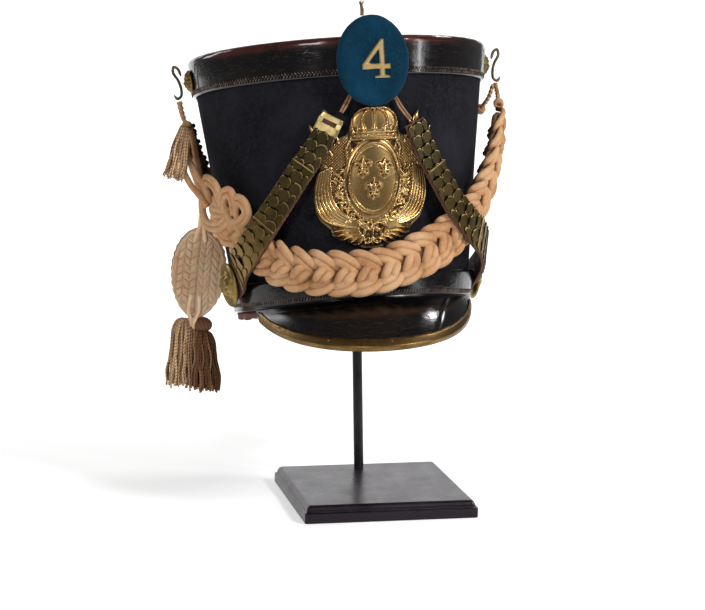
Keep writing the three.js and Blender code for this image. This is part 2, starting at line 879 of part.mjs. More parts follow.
function cordGroup() {
  const group = new THREE.Group();
  group.add(piece("front_plait", "cord", flatCord(FRONT_PLAIT, FRONT_PLAIT_SIZE)));
  group.add(piece("back_plait", "cord", flatCord(BACK_PLAIT, BACK_PLAIT_SIZE)));
  group.add(piece("side_cords", "cord", flatCord(SIDE_CORDS, SIDE_CORDS_SIZE)));
  Object.entries(STRINGS).forEach(([name, rows]) => {
    const curve = new THREE.CatmullRomCurve3(rows.map((row) => wallPoint(...row)));
    group.add(piece(`hook_string_${name}`, "cord", roundTube(curve, STRING_RADIUS, 6)));
  });
  const tassel = piece("small_tassel", "cord", turnedDown(SMALL_TASSEL_PROFILE, 12));
  const { angle, z, offset } = SMALL_TASSEL.top;
  tassel.position.copy(wallPoint(angle, z, offset));
  tassel.rotation.y = THREE.MathUtils.degToRad(SMALL_TASSEL.swing);
  group.add(tassel);
  return group;
}

function hangingGroup() {
  const group = new THREE.Group();
  const top = new THREE.Vector3(...RAQUETTE.top);
  const foot = new THREE.Vector3(...RAQUETTE.foot);
  const halfHeight = top.distanceTo(foot) / 2;
  const disc = new THREE.SphereGeometry(1, 16, 10);
  disc.scale(RAQUETTE.halfWidth, RAQUETTE.halfThickness, halfHeight);
  const raquette = piece("raquette", "cord", disc);
  raquette.position.copy(top).lerp(foot, 0.5);
  const up = top.clone().sub(foot).normalize();
  const turn = THREE.MathUtils.degToRad(RAQUETTE_TURN);
  const across = new THREE.Vector3(Math.cos(turn), Math.sin(turn), 0);
  across.addScaledVector(up, -across.dot(up)).normalize();
  const back = up.clone().cross(across);
  raquette.quaternion.setFromRotationMatrix(new THREE.Matrix4().makeBasis(across, back, up));
  group.add(raquette);

  const tassel = piece("tassel", "cord", turnedDown(TASSEL_PROFILE, 14).scale(1, TASSEL.flatness, 1));
  tassel.position.set(...TASSEL.top);
  tassel.rotation.z = turn;
  group.add(tassel);
  return group;
}

function hatGroup() {
  const hat = new THREE.Group();
  hat.position.set(HAT_SEAT.x, HAT_SEAT.y, HAT_SEAT.z);
  const tilt = new THREE.Quaternion().setFromAxisAngle(
    new THREE.Vector3(1, 0, 0),
    -THREE.MathUtils.degToRad(HAT_SEAT.tiltBack),
  );
  const lean = new THREE.Quaternion().setFromAxisAngle(
    new THREE.Vector3(0, 1, 0),
    THREE.MathUtils.degToRad(HAT_SEAT.lean),
  );
  hat.quaternion.copy(lean.multiply(tilt));

  const leftRoute = routeOn(LEFT_STRAP);
  hat.add(bodyGroup());
  hat.add(pompomGroup());
  hat.add(strapGroup("left", LEFT_STRAP, 13.5, { angle: -78, z: 20 }));
  hat.add(strapGroup("right", RIGHT_STRAP, 9, { angle: 92, z: 15 }));
  hat.add(piece("strap_end_left", "brass", slottedEnd(leftRoute, 0, 13, { length: 3, half: 5 })));
  hat.add(hookGroup("left", -90, 170));
  hat.add(hookGroup("right", 86, 172));
  hat.add(
    thong("thong_left", [
      { angle: -7, z: 145, offset: 1.2 },
      { angle: -9, z: 139, offset: 3 },
      { angle: -11, z: 133, offset: 7.6 },
    ]),
  );
  hat.add(
    thong("thong_right", [
      { angle: 10, z: 143, offset: 1.2 },
      { angle: 12, z: 135, offset: 3 },
      { angle: 15, z: 126, offset: 6 },
    ]),
  );
  hat.add(cordGroup());
  return hat;
}

const shako = new THREE.Group();
const hat = hatGroup();
shako.add(standGroup(hat), hat, hangingGroup());

export default shako;
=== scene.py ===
"""The looks of a bell-topped shako on its display stand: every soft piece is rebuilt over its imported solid.

Points are worked out in millimetres and turned into metres when a mesh is made. On the hat, a place is an
angle (degrees from the front, positive towards +X), a height z above the base and an offset out from the wall.
"""
import math
import random

import bpy
import numpy as np
from mathutils import Matrix, Vector
from mathutils.geometry import tessellate_polygon


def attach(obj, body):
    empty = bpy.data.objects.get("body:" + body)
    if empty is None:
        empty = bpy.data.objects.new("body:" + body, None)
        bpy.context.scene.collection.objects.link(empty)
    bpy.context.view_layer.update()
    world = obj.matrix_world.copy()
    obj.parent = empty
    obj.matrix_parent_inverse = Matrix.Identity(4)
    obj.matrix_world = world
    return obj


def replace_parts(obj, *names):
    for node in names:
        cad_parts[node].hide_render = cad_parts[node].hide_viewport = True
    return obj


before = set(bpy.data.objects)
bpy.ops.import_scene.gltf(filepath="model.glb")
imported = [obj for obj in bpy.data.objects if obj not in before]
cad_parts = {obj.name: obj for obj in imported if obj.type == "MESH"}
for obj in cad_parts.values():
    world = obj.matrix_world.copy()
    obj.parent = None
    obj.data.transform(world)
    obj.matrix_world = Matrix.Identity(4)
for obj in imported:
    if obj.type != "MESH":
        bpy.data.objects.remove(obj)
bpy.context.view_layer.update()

MM = 0.001
TURN = 2 * math.pi
draw = random.Random(7)

# The hat's wall and its seat, as in the part's source.
HAT_HEIGHT = 186.0
BASE_HALF = (86.6, 101.2)
RIM_HALF = (110.5, 110.5)
HAT_POSITION = np.array([-10.3, 38.3, 138.7])
HAT_ROLL = math.radians(-2.6)
HAT_TIP = math.radians(-9.7)
HAT_TURN = np.array(Matrix.Rotation(HAT_ROLL, 3, "Y") @ Matrix.Rotation(HAT_TIP, 3, "X"))
ARCH_RISE = 3.0
ARCH_HALF_ANGLE = 62.0
ARCH_POWER = 1.5


# --- The hat's wall ---


def together(*values):
    """The values as arrays of one shape."""
    return np.broadcast_arrays(*[np.asarray(value, float) for value in values])


def half_sizes(z, offset):
    """Half the wall's width and half its depth at a height."""
    share = z / HAT_HEIGHT
    return [foot + (rim - foot) * share + offset for foot, rim in zip(BASE_HALF, RIM_HALF)]


def wall(angle, z, offset):
    """Points in the hat's frame, from arrays or numbers."""
    angle, z, offset = together(np.radians(angle), z, offset)
    half_x, half_y = half_sizes(z, offset)
    return np.stack([half_x * np.sin(angle), -half_y * np.cos(angle), z], -1)


def unit(vectors):
    vectors = np.asarray(vectors, float)
    return vectors / np.linalg.norm(vectors, axis=-1, keepdims=True)


def wall_out(angle):
    """The direction out of the wall at an angle."""
    angle = np.radians(np.asarray(angle, float))
    flare_x, flare_y = [(rim - foot) / HAT_HEIGHT for foot, rim in zip(BASE_HALF, RIM_HALF)]
    flare = flare_x * np.sin(angle) ** 2 + flare_y * np.cos(angle) ** 2
    flat = unit(np.stack([np.sin(angle) / BASE_HALF[0], -np.cos(angle) / BASE_HALF[1], 0 * angle], -1))
    return unit(np.concatenate([flat[..., :2], -flare[..., None]], -1))


def base_edge(angle):
    """How far the base edge arches up over the forehead."""
    share = np.minimum(np.abs(np.asarray(angle, float)) / ARCH_HALF_ANGLE, 1)
    return ARCH_RISE * np.cos(share * math.pi / 2) ** ARCH_POWER


def front_point(x, z, offset):
    """A place on the front of the wall by its sideways distance in place of its angle."""
    x, z, offset = together(x, z, offset)
    half_x, _ = half_sizes(z, offset)
    return wall(np.degrees(np.arcsin(np.clip(x / half_x, -1, 1))), z, offset)


def in_world(points):
    return np.asarray(points, float) @ HAT_TURN.T + HAT_POSITION


# --- Meshes ---


class Shape:
    """Collects grids and tubes into one mesh, with UVs in millimetres."""

    def __init__(self):
        self.points = []
        self.faces = []
        self.uvs = []
        self.tags = []
        self.count = 0

    def grid(self, points, along=None, across=None, wrap=False, tag=0.0, flip=False):
        """Adds rows of points, each closed on itself with wrap. along and across are the UVs."""
        points = np.asarray(points, float)
        rows, columns = points.shape[:2]
        along = np.arange(rows, dtype=float) if along is None else np.asarray(along, float)
        across = np.arange(columns + 1, dtype=float) if across is None else np.asarray(across, float)
        steps = columns if wrap else columns - 1
        r, c = np.meshgrid(np.arange(rows - 1), np.arange(steps), indexing="ij")
        r, c = r.ravel(), c.ravel()
        after = (c + 1) % columns
        corners = ((r, c), (r, after), (r + 1, after), (r + 1, c))
        quads = np.stack([row * columns + column for row, column in corners], 1)
        places = ((r, c), (r, c + 1), (r + 1, c + 1), (r + 1, c))
        uv = np.stack([np.stack([along[row], across[column]], 1) for row, column in places], 1)
        if flip:
            quads = quads[:, ::-1]
            uv = uv[:, ::-1]
        self.points.append(points.reshape(-1, 3))
        self.faces.extend((quads + self.count).tolist())
        self.uvs.append(uv.reshape(-1, 2))
        self.tags.append(np.broadcast_to(np.asarray(tag, float), (rows, columns)).reshape(-1))
        self.count += rows * columns
        return self.count - rows * columns

    def cap(self, first, columns, flip):
        """Closes one ring of a grid with a single face."""
        ring = list(range(first, first + columns))
        self.faces.append(ring[::-1] if flip else ring)
        self.uvs.append(np.zeros((columns, 2)))

    def closed(self, rings, along=None, across=None, tag=0.0, flip=False):
        """Adds rings of points with a face over the first ring and one over the last."""
        rings = np.asarray(rings, float)
        rows, columns = rings.shape[:2]
        first = self.grid(rings, along, across, wrap=True, tag=tag, flip=flip)
        self.cap(first, columns, not flip)
        self.cap(first + (rows - 1) * columns, columns, flip)

    def tube(self, centres, radius, sides=8, flat=1.0, up=None, twist=0.0, lobes=0, depth=0.0, tag=0.0):
        """A tube along centres. flat squeezes it along up; lobes and twist lay it up from plies."""
        centres = np.asarray(centres, float)
        radius = np.broadcast_to(np.asarray(radius, float), (len(centres),))
        side, lift = carried_frames(centres, up)
        run = distances(centres)
        spin = np.arange(sides) * TURN / sides + 0 * run[:, None]
        swell = 1 + depth * np.cos(lobes * (spin - twist * run[:, None]))
        reach = radius[:, None] * swell
        ring = (
            centres[:, None, :]
            + side[:, None, :] * (np.cos(spin) * reach)[..., None]
            + lift[:, None, :] * (np.sin(spin) * reach * flat)[..., None]
        )
        self.closed(ring, run, np.arange(sides + 1) / sides, tag=tag, flip=True)

    def build(self, name, material, smooth=True, world=False, tag_name=None):
        """Makes the object, from points in the hat's frame or in the world's, and rides it on the body."""
        points = np.concatenate(self.points)
        points = (points if world else in_world(points)) * MM
        mesh = bpy.data.meshes.new(name)
        mesh.from_pydata(points.tolist(), [], self.faces)
        layer = mesh.uv_layers.new(name="span")
        layer.data.foreach_set("uv", np.concatenate(self.uvs).astype(np.float32).ravel())
        if tag_name:
            attribute = mesh.attributes.new(tag_name, "FLOAT", "POINT")
            attribute.data.foreach_set("value", np.concatenate(self.tags).astype(np.float32))
        mesh.polygons.foreach_set("use_smooth", np.full(len(mesh.polygons), smooth))
        mesh.materials.append(material)
        mesh.update()
        made = bpy.data.objects.new(name, mesh)
        bpy.context.scene.collection.objects.link(made)
        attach(made, "root")
        return made


def distances(points):
    """How far along a line of points each one is."""
    steps = np.linalg.norm(np.diff(points, axis=0), axis=1)
    return np.concatenate([[0.0], np.cumsum(steps)])


def carried_frames(centres, up=None):
    """Two directions across a line at each point, with no twist, or with the second kept near up."""
    along = unit(np.gradient(centres, axis=0) + 1e-12)
    if up is not None:
        lift = np.broadcast_to(np.asarray(up, float), along.shape)
        lift = unit(lift - along * np.sum(lift * along, 1, keepdims=True))
        return np.cross(along, lift), lift
    first = np.array([0.0, 0.0, 1.0]) if abs(along[0][2]) < 0.9 else np.array([1.0, 0.0, 0.0])
    lifts = np.zeros_like(along)
    lift = first
    for i, direction in enumerate(along):
        lift = lift - direction * np.dot(lift, direction)
        lift = lift / np.linalg.norm(lift)
        lifts[i] = lift
    return np.cross(along, lifts), lifts


def between(t, low, high, first, last):
    """The straight line that is at first when t is low and at last when t is high."""
    return (high - t) / (high - low) * first + (t - low) / (high - low) * last


def smooth_line(points, count):
    """A centripetal Catmull-Rom line through the points, as evenly spaced points."""
    points = np.asarray(points, float)
    padded = np.vstack([2 * points[0] - points[1], points, 2 * points[-1] - points[-2]])
    pieces = []
    for i in range(1, len(padded) - 2):
        a, b, c, d = padded[i - 1 : i + 3]
        gaps = [np.linalg.norm(q - p) for p, q in ((a, b), (b, c), (c, d))]
        k0, k1, k2, k3 = np.cumsum([0.0] + [max(gap, 1e-6) ** 0.5 for gap in gaps])
        t = np.linspace(k1, k2, 24, endpoint=False)[:, None]
        ab, bc, cd = between(t, k0, k1, a, b), between(t, k1, k2, b, c), between(t, k2, k3, c, d)
        abc, bcd = between(t, k0, k2, ab, bc), between(t, k1, k3, bc, cd)
        pieces.append(between(t, k1, k2, abc, bcd))
    dense = np.vstack(pieces + [points[-1:]])
    run = distances(dense)
    even = np.linspace(0, run[-1], count)
    return np.stack([np.interp(even, run, dense[:, k]) for k in range(3)], 1)


def smooth_flat(points, count):
    """A smooth line through points in a plane."""
    return smooth_line(np.column_stack([points, np.zeros(len(points))]), count)[:, :2]


class Route:
    """A line on the wall from rows of angle, z, offset and width. Places are along, across and out from it."""

    COUNT = 900

    def __init__(self, rows):
        rows = np.asarray(rows, float)
        knots = wall(rows[:, 0], rows[:, 1], rows[:, 2])
        self.line = smooth_line(knots, self.COUNT)
        self.run = distances(self.line)
        self.length = self.run[-1]
        nearest = [int(np.argmin(np.linalg.norm(self.line - k, axis=1))) for k in knots]
        marks = self.run[np.maximum.accumulate(nearest)]
        self.width = np.interp(self.run, marks, rows[:, 3])
        self.along = unit(np.gradient(self.line, axis=0))
        out = wall_out(np.interp(self.run, marks, rows[:, 0]))
        self.out = unit(out - self.along * np.sum(out * self.along, 1, keepdims=True))
        self.across = np.cross(self.along, self.out)

    def at(self, values, s):
        s = np.asarray(s, float)
        if values.ndim == 1:
            return np.interp(s, self.run, values)
        return np.stack([np.interp(s, self.run, values[:, k]) for k in range(3)], -1)

    def place(self, s, u, n):
        """Points at distance s, u across and n out. Beyond either end they run straight on."""
        s, u, n = together(s, u, n)
        held = np.clip(s, 0, self.length)
        along = self.at(self.along, held)
        point = self.at(self.line, held) + along * (s - held)[..., None]
        return point + self.at(self.across, held) * u[..., None] + self.at(self.out, held) * n[..., None]


# --- Materials ---


def linear(colour):
    """A colour as it looks on screen, such as 'c9a06f', as the linear numbers that Blender works in."""
    parts = [int(colour[i : i + 2], 16) / 255 for i in (0, 2, 4)]
    return [p / 12.92 if p <= 0.04045 else ((p + 0.055) / 1.055) ** 2.4 for p in parts] + [1.0]


class Paint:
    """A material's node graph, built one line at a time."""

    def __init__(self, name, roughness=0.5, metallic=0.0, **fixed):
        self.material = bpy.data.materials.new(name)
        self.material.use_nodes = True
        self.tree = self.material.node_tree
        self.shader = self.tree.nodes["Principled BSDF"]
        self.set("Roughness", roughness)
        self.set("Metallic", metallic)
        for socket, value in fixed.items():
            self.shader.inputs[socket.replace("_", " ")].default_value = value
        coordinates = self.tree.nodes.new("ShaderNodeTexCoord")
        self.object = coordinates.outputs["Object"]
        self.uv = coordinates.outputs["UV"]

    def wire(self, value, socket):
        if isinstance(value, bpy.types.NodeSocket):
            self.tree.links.new(value, socket)
        elif isinstance(value, str):
            socket.default_value = linear(value)
        else:
            socket.default_value = value

    def set(self, socket, value):
        self.wire(value, self.shader.inputs[socket])

    def add(self, kind, **settings):
        node = self.tree.nodes.new(kind)
        for key, value in settings.items():
            setattr(node, key, value)
        return node

    def scaled(self, source, x, y, z=1.0):
        node = self.add("ShaderNodeMapping")
        self.wire(source, node.inputs["Vector"])
        node.inputs["Scale"].default_value = (x, y, z)
        return node.outputs[0]

    def noise(self, scale, detail=3.0, roughness=0.5, source=None, distortion=0.0):
        node = self.add("ShaderNodeTexNoise")
        self.wire(self.object if source is None else source, node.inputs["Vector"])
        node.inputs["Scale"].default_value = scale
        node.inputs["Detail"].default_value = detail
        node.inputs["Roughness"].default_value = roughness
        node.inputs["Distortion"].default_value = distortion
        return node.outputs["Fac"]

    def cells(self, scale):
        node = self.add("ShaderNodeTexVoronoi")
        self.wire(self.object, node.inputs["Vector"])
        node.inputs["Scale"].default_value = scale
        return node.outputs["Distance"]

    def ramp(self, factor, *stops):
        """stops are (place, colour or number) pairs."""
        node = self.add("ShaderNodeValToRGB")
        self.wire(factor, node.inputs[0])
        elements = node.color_ramp.elements
        while len(elements) < len(stops):
            elements.new(0.5)
        for element, (place, value) in zip(elements, stops):
            element.position = place
            element.color = linear(value) if isinstance(value, str) else (value, value, value, 1.0)
        return node.outputs[0]

    def math(self, operation, a, b=0.0, c=0.0):
        node = self.add("ShaderNodeMath", operation=operation)
        for value, socket in zip((a, b, c), node.inputs):
            self.wire(value, socket)
        return node.outputs[0]

    def mix(self, factor, a, b):
        node = self.add("ShaderNodeMix", data_type="RGBA")
        self.wire(factor, node.inputs[0])
        self.wire(a, node.inputs[6])
        self.wire(b, node.inputs[7])
        return node.outputs[2]

    def tag(self, name):
        return self.add("ShaderNodeAttribute", attribute_name=name).outputs["Fac"]

    def split(self, source):
        node = self.add("ShaderNodeSeparateXYZ")
        self.wire(source, node.inputs[0])
        return node.outputs

    def bump(self, *layers):
        """layers are (height, strength, distance in mm), the coarsest first."""
        normal = None
        for height, strength, distance in layers:
            node = self.add("ShaderNodeBump")
            node.inputs["Strength"].default_value = strength
            node.inputs["Distance"].default_value = distance * MM
            self.wire(height, node.inputs["Height"])
            if normal is not None:
                self.wire(normal, node.inputs["Normal"])
            normal = node.outputs[0]
        self.set("Normal", normal)
        return self.material


KNIT_PITCH = 1.25
KNIT_COLUMNS = 6.0
KNIT_SLANT = 3.6


def cord_paint(name, light, middle, dark, shade_colour):
    """Knitted cord: fine chevrons with painted shade between them, and more painted shade, towards the shade colour,
    where the tag says it lies deep.
    """
    paint = Paint(name, roughness=0.95, Specular_IOR_Level=0.15)
    along, around, _ = paint.split(paint.uv)
    column = paint.math("PINGPONG", paint.math("MULTIPLY", around, KNIT_COLUMNS), 0.5)
    slanted = paint.math("ADD", along, paint.math("MULTIPLY", column, KNIT_SLANT))
    stitch = paint.math("SINE", paint.math("MULTIPLY", slanted, TURN / KNIT_PITCH))
    height = paint.math("MULTIPLY_ADD", stitch, 0.5, 0.5)
    fuzz = paint.noise(1300, 2)
    patches = paint.noise(50, 4, 0.6)
    base = paint.ramp(patches, (0.3, dark), (0.48, middle), (0.68, light))
    # Painted shade in the low parts of the knit.
    knit_shade = paint.math("MULTIPLY", paint.ramp(height, (0.0, 1.0), (0.6, 0.0)), 0.62)
    knitted = paint.mix(knit_shade, base, dark)
    fuzzy = paint.mix(paint.ramp(fuzz, (0.4, 0.0), (0.8, 0.3)), knitted, light)
    # Painted shade where the tag is high, towards the shade colour.
    deep = paint.ramp(paint.tag("shade"), (0.15, 0.0), (0.9, 1.0))
    paint.set("Base Color", paint.mix(deep, fuzzy, shade_colour))
    return paint.bump((height, 0.8, 0.4), (fuzz, 0.6, 0.2))


def soft_paint(name, dark, light, nap_scale, sheen):
    """Felt or felted wool: two close colours, a fine nap and pale lint."""
    soft = {"Specular_IOR_Level": 0.08, "Sheen_Weight": sheen, "Sheen_Roughness": 0.5}
    paint = Paint(name, roughness=0.97, **soft)
    patches = paint.noise(22, 5, 0.6)
    nap = paint.noise(nap_scale, 3, 0.7)
    lint = paint.ramp(paint.cells(330), (0.0, 1.0), (0.055, 0.0))
    sparse = paint.ramp(paint.noise(120, 2), (0.6, 0.0), (0.72, 1.0))
    base = paint.mix(paint.ramp(patches, (0.3, 0.0), (0.7, 1.0)), dark, light)
    worn = paint.mix(paint.ramp(nap, (0.42, 0.0), (0.72, 0.9)), base, light)
    speck = paint.math("MULTIPLY", paint.math("MULTIPLY", lint, sparse), 0.5)
    paint.set("Base Color", paint.mix(speck, worn, "8d8a84"))
    return paint.bump((patches, 0.25, 1.0), (nap, 0.55, 0.35))


def varnished_paint(name, dark, rubbed, rubbed_span, wave, gloss, coat, worn=False):
    """Varnished leather: waves, cockles, scratches and rubbed patches. gloss is its span of roughness."""
    paint = Paint(name, roughness=0.2, Coat_Weight=coat, Coat_Roughness=0.1, Specular_IOR_Level=0.35)
    waves = paint.noise(28, 2, 0.4)
    cockles = paint.noise(130, 3, 0.6, distortion=0.8)
    grain = paint.cells(900)
    scratches = paint.noise(3.0, 4, 0.7, paint.scaled(paint.uv, 0.035, 0.9), 1.2)
    nicks = paint.ramp(scratches, (0.6, 0.0), (0.64, 1.0), (0.69, 0.0))
    patches = paint.noise(14, 5, 0.65)
    rub = paint.ramp(patches, (rubbed_span[0], 0.0), (rubbed_span[1], 1.0))
    dust = paint.noise(70, 5, 0.7)
    base = paint.mix(rub, dark, rubbed)
    if worn:
        rim = paint.math("MULTIPLY", paint.tag("shade"), paint.ramp(patches, (0.38, 0.1), (0.58, 0.9)))
        base = paint.mix(rim, base, "48201a")
    paint.set("Base Color", paint.mix(paint.math("MULTIPLY", nicks, 0.4), base, "6b5a4c"))
    rough = paint.ramp(paint.math("MULTIPLY_ADD", rub, 0.3, dust), (0.35, gloss[0]), (0.9, gloss[1]))
    paint.set("Roughness", rough)
    coarse, fine = ((waves, wave, 2.0), (cockles, wave * 0.8, 0.7)), ((grain, 0.12, 0.15), (scratches, 0.2, 0.12))
    return paint.bump(*coarse, *fine)


def brown_leather_paint(name, dark, light):
    paint = Paint(name, roughness=0.7)
    patches = paint.noise(60, 5, 0.65)
    fibres = paint.noise(400, 4, 0.7)
    mixed = paint.math("MULTIPLY_ADD", fibres, 0.5, paint.math("MULTIPLY", patches, 0.5))
    paint.set("Base Color", paint.ramp(mixed, (0.36, dark), (0.62, light)))
    paint.set("Roughness", paint.ramp(fibres, (0.3, 0.5), (0.7, 0.85)))
    return paint.bump((patches, 0.3, 0.6), (fibres, 0.5, 0.25))


def brass_paint(name, bright, dull, shade_colour, dull_from=0.4, roughness=(0.22, 0.5), tag=None, tag_stops=None):
    """Old brass: bright where rubbed, dull in patches, and a painted shade where a tag says it lies deep."""
    paint = Paint(name, roughness=0.35, metallic=1.0)
    patches = paint.noise(70, 6, 0.65)
    fine = paint.noise(520, 4, 0.6)
    mixed = paint.math("MULTIPLY_ADD", fine, 0.35, paint.math("MULTIPLY", patches, 0.75))
    factor = paint.ramp(mixed, (dull_from - 0.12, 0.0), (dull_from + 0.22, 1.0))
    colour = paint.mix(factor, bright, dull)
    rough = paint.ramp(mixed, (0.3, roughness[0]), (0.75, roughness[1]))
    if tag:
        # Painted shade: where the tag is low the brass turns to the shade colour, and is less metallic and rougher.
        depth = paint.ramp(paint.tag(tag), *tag_stops)
        colour = paint.mix(depth, shade_colour, colour)
        rough = paint.math("MULTIPLY_ADD", paint.math("SUBTRACT", 1.0, depth), 0.35, rough)
        paint.set("Metallic", paint.math("MULTIPLY_ADD", depth, 0.45, 0.55))
    paint.set("Base Color", colour)
    paint.set("Roughness", rough)
    return paint.bump((patches, 0.15, 0.5), (fine, 0.2, 0.12))


# --- The hat's body ---


def wall_ring(shape, profile, steps=240, tag=0.0, waves=None):
    """A closed ring of one section: profile(angle) lists its corners as (offset, z)."""
    angles = np.linspace(-180, 180, steps, endpoint=False)
    sections = np.array([profile(a) for a in angles])
    offset, z = sections[..., 0], sections[..., 1]
    if waves is not None:
        offset = offset + waves(angles[:, None], z)
    points = wall(angles[:, None], z, offset)
    around = np.concatenate([[0.0], np.cumsum(np.hypot(*np.diff(sections[0], axis=0).T)), [0.0]])
    around[-1] = around[-2] + 1
    closed = np.concatenate([points, points[:1]])
    tags = np.full(closed.shape[:2], tag) if np.ndim(tag) == 0 else np.broadcast_to(tag, closed.shape[:2])
    run = np.linspace(0, 650, steps + 1)
    shape.grid(closed, run, around, wrap=True, tag=tags)


def resampled(corners, step):
    """A closed outline of corners with extra points, about step apart."""
    corners = [np.asarray(c, float) for c in corners]
    points = []
    for here, there in zip(corners, corners[1:] + corners[:1]):
        count = max(1, int(round(np.linalg.norm(there - here) / step)))
        points.extend(here + (there - here) * i / count for i in range(count))
    return np.array(points)


def body_waves(angle, z):
    """The slow unevenness of an old felt wall, in mm."""
    a = np.radians(angle)
    return 0.35 * np.sin(3 * a + z / 40) + 0.25 * np.sin(7 * a - z / 23) + 0.15 * np.sin(13 * a + z / 15)


def felt_body():
    paint = soft_paint("black_felt", "070709", "222228", 380, sheen=0.01)
    shape = Shape()

    def section(angle):
        foot = float(base_edge(angle))
        outer = [(-2.4, z) for z in np.linspace(foot, 182, 60)]
        inner = [(-5.4, z) for z in np.linspace(182, foot, 24)]
        return outer + inner

    wall_ring(shape, section, waves=lambda a, z: body_waves(a, z) * 0.6)
    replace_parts(shape.build("felt_wall", paint), "felt_body")


CROWN_Z = 179.0
CROWN_OFFSET = -6.3
CROWN_LEATHER = 2.6
CROWN_SAG = 1.6


def leather_crown(paint):
    """The top: a leather disc that sags and puckers a little."""
    turn = np.linspace(-180, 180, 160, endpoint=False)
    edge = wall(turn, CROWN_Z, CROWN_OFFSET)
    centre = np.array([0, 0, CROWN_Z])
    rings = []
    for share in np.linspace(0.02, 1, 40):
        puckers = np.sin(5 * np.radians(turn) + share * 6) * share * (1 - share)
        sag = puckers - CROWN_SAG * (1 - share**2)
        rings.append(centre + (edge - centre) * share + sag[:, None] * (0, 0, 1))
    top = np.array(rings)
    shape = Shape()
    shape.closed(np.concatenate([top, top[::-1] - (0, 0, CROWN_LEATHER)]))
    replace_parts(shape.build("crown_leather", paint), "crown_top")


# Along one stitch: its share of the way up, and how far it stands out.
STITCH_SHAPE = ((0, -0.8), (0.25, 0.35), (0.75, 0.35), (1, -0.8))


def stitch_row(shape, angles, low, rise, slant, offset, radius):
    """Short slanted stitches over the wall from low(angle), with both ends sunk in the leather."""
    for angle in angles:
        foot = low(angle)
        knots = [(angle + slant * s, foot + rise * s, offset + proud) for s, proud in STITCH_SHAPE]
        line = smooth_line(on_wall(knots), 7)
        shape.tube(line, radius * draw.uniform(0.85, 1.15), sides=5, tag=draw.random())


def thread_paint(name, dark, light):
    paint = Paint(name, roughness=0.45)
    strands = paint.math("MULTIPLY", paint.tag("shade"), 0.4)
    tone = paint.math("MULTIPLY_ADD", paint.noise(150, 4), 0.6, strands)
    paint.set("Base Color", paint.ramp(tone, (0.3, dark), (0.7, light)))
    return paint.bump((paint.noise(1500, 2), 0.5, 0.15))


TOP_BAND_FOOT = 158.5
ROLL_Z = 181.4
ROLL_HALF = 3.9
ROLL_RISE = 4.6


def top_band(paint, thread):
    """The wide band that rolls over the rim, with its double row of stitches."""
    outer = [(-2.1, TOP_BAND_FOOT), (-0.35, TOP_BAND_FOOT), (0, TOP_BAND_FOOT + 0.4), (0.1, 170), (0.0, 180.6)]
    bends = np.linspace(0.1, math.pi - 0.1, 15)
    roll = [(ROLL_HALF * (math.cos(t) - 1), ROLL_Z + ROLL_RISE * math.sin(t)) for t in bends]
    inner = [(-7.8, 181.0), (-7.8, 179.5), (-5.9, 179.5), (-5.7, 182.3), (-2.1, 182.3)]
    outline = resampled(outer + roll + inner, 1.4)
    rim = np.clip((outline[:, 1] - 178.5) / 3.0, 0, 1)

    def waves(angle, z):
        return np.where(z < 183, body_waves(angle, z) * 0.35, 0.12 * np.sin(np.radians(angle) * 40))

    shape = Shape()
    wall_ring(shape, lambda angle: outline, steps=320, tag=rim[None, :], waves=waves)
    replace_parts(shape.build("rim_band", paint, tag_name="shade"), "top_band")
    stitches = Shape()
    for low, lean in ((160.0, 0.62), (161.7, -0.62)):
        stitch_row(stitches, np.arange(-180, 180, 1.3), lambda a: low, 1.5, lean, 0.3, 0.27)
    stitches.build("rim_band_stitches", thread, tag_name="shade")


LOWER_BAND_HEIGHT = 20
LOWER_BAND_GROOVE = [(-2.1, 0), (-0.1, 0), (0.35, 0.5), (0.35, 1.6), (-0.35, 2.3), (0.1, 3.0)]


def lower_band(paint, thread):
    """The narrow band at the foot, with whip stitches along it and a pressed groove below them."""

    def section(angle):
        foot = float(base_edge(angle))
        top = LOWER_BAND_HEIGHT + 0.4 * foot
        rows = [(offset, foot + rise) for offset, rise in LOWER_BAND_GROOVE]
        for share in np.linspace(0.08, 1, 12):
            rows.append((0.1 + 0.25 * math.sin(share * 3.1), foot + 3.0 + (top - foot - 3.6) * share))
        return rows + [(-0.3, top), (-2.1, top)]

    shape = Shape()
    wall_ring(shape, section, steps=320, waves=lambda a, z: body_waves(a * 1.7, z * 2) * 0.5)
    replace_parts(shape.build("foot_band", paint), "lower_band")
    stitches = Shape()
    stitch_row(stitches, np.arange(-180, 180, 1.45), lambda a: float(base_edge(a)) + 3.6, 2.4, 0.85, 0.5, 0.4)
    stitches.build("foot_band_stitches", thread, tag_name="shade")


def sweatband():
    """The lining strip at the foot, with a ragged, cockled lower edge."""
    paint = brown_leather_paint("lining_leather", "2b1210", "6e3a2c")
    shape = Shape()
    rough = np.array([draw.uniform(0, 1) for _ in range(721)])

    def ragged(angle):
        index = int((angle + 180) * 2) % 720
        slow = 0.8 * math.sin(math.radians(angle) * 23) + 0.6 * math.sin(math.radians(angle) * 41 + 1)
        return 1.1 * rough[index] + 0.5 * slow

    def section(angle):
        foot = float(base_edge(angle))
        edge = foot - 6.0 + ragged(angle)
        lip = -2.4 + 0.5 * math.sin(math.radians(angle) * 31)
        outer = [(-5.7, z) for z in np.linspace(foot - 0.4, 32, 8)]
        inner = [(-7.4, z) for z in np.linspace(32, edge + 0.4, 10)]
        return [(lip - 2, edge), (lip, edge + 0.5), (lip, foot - 0.5)] + outer + inner

    wall_ring(shape, section, steps=720)
    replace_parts(shape.build("lining_strip", paint), "sweatband")


# --- The peak ---

PEAK_TURN = -2
PEAK_FORWARD = 36
PEAK_DROP = 33
PEAK_THICKNESS = 2.2
PEAK_BULGE = 3
PEAK_ROOT_OFFSET = 2.4
PEAK_ROOT_RISE = 0.8
PEAK_POWER = 0.7
PEAK_END = 0.975
PEAK_LENGTH = math.hypot(PEAK_FORWARD, PEAK_DROP)
PEAK_DOWN = np.array([0, PEAK_DROP, -PEAK_FORWARD]) / PEAK_LENGTH


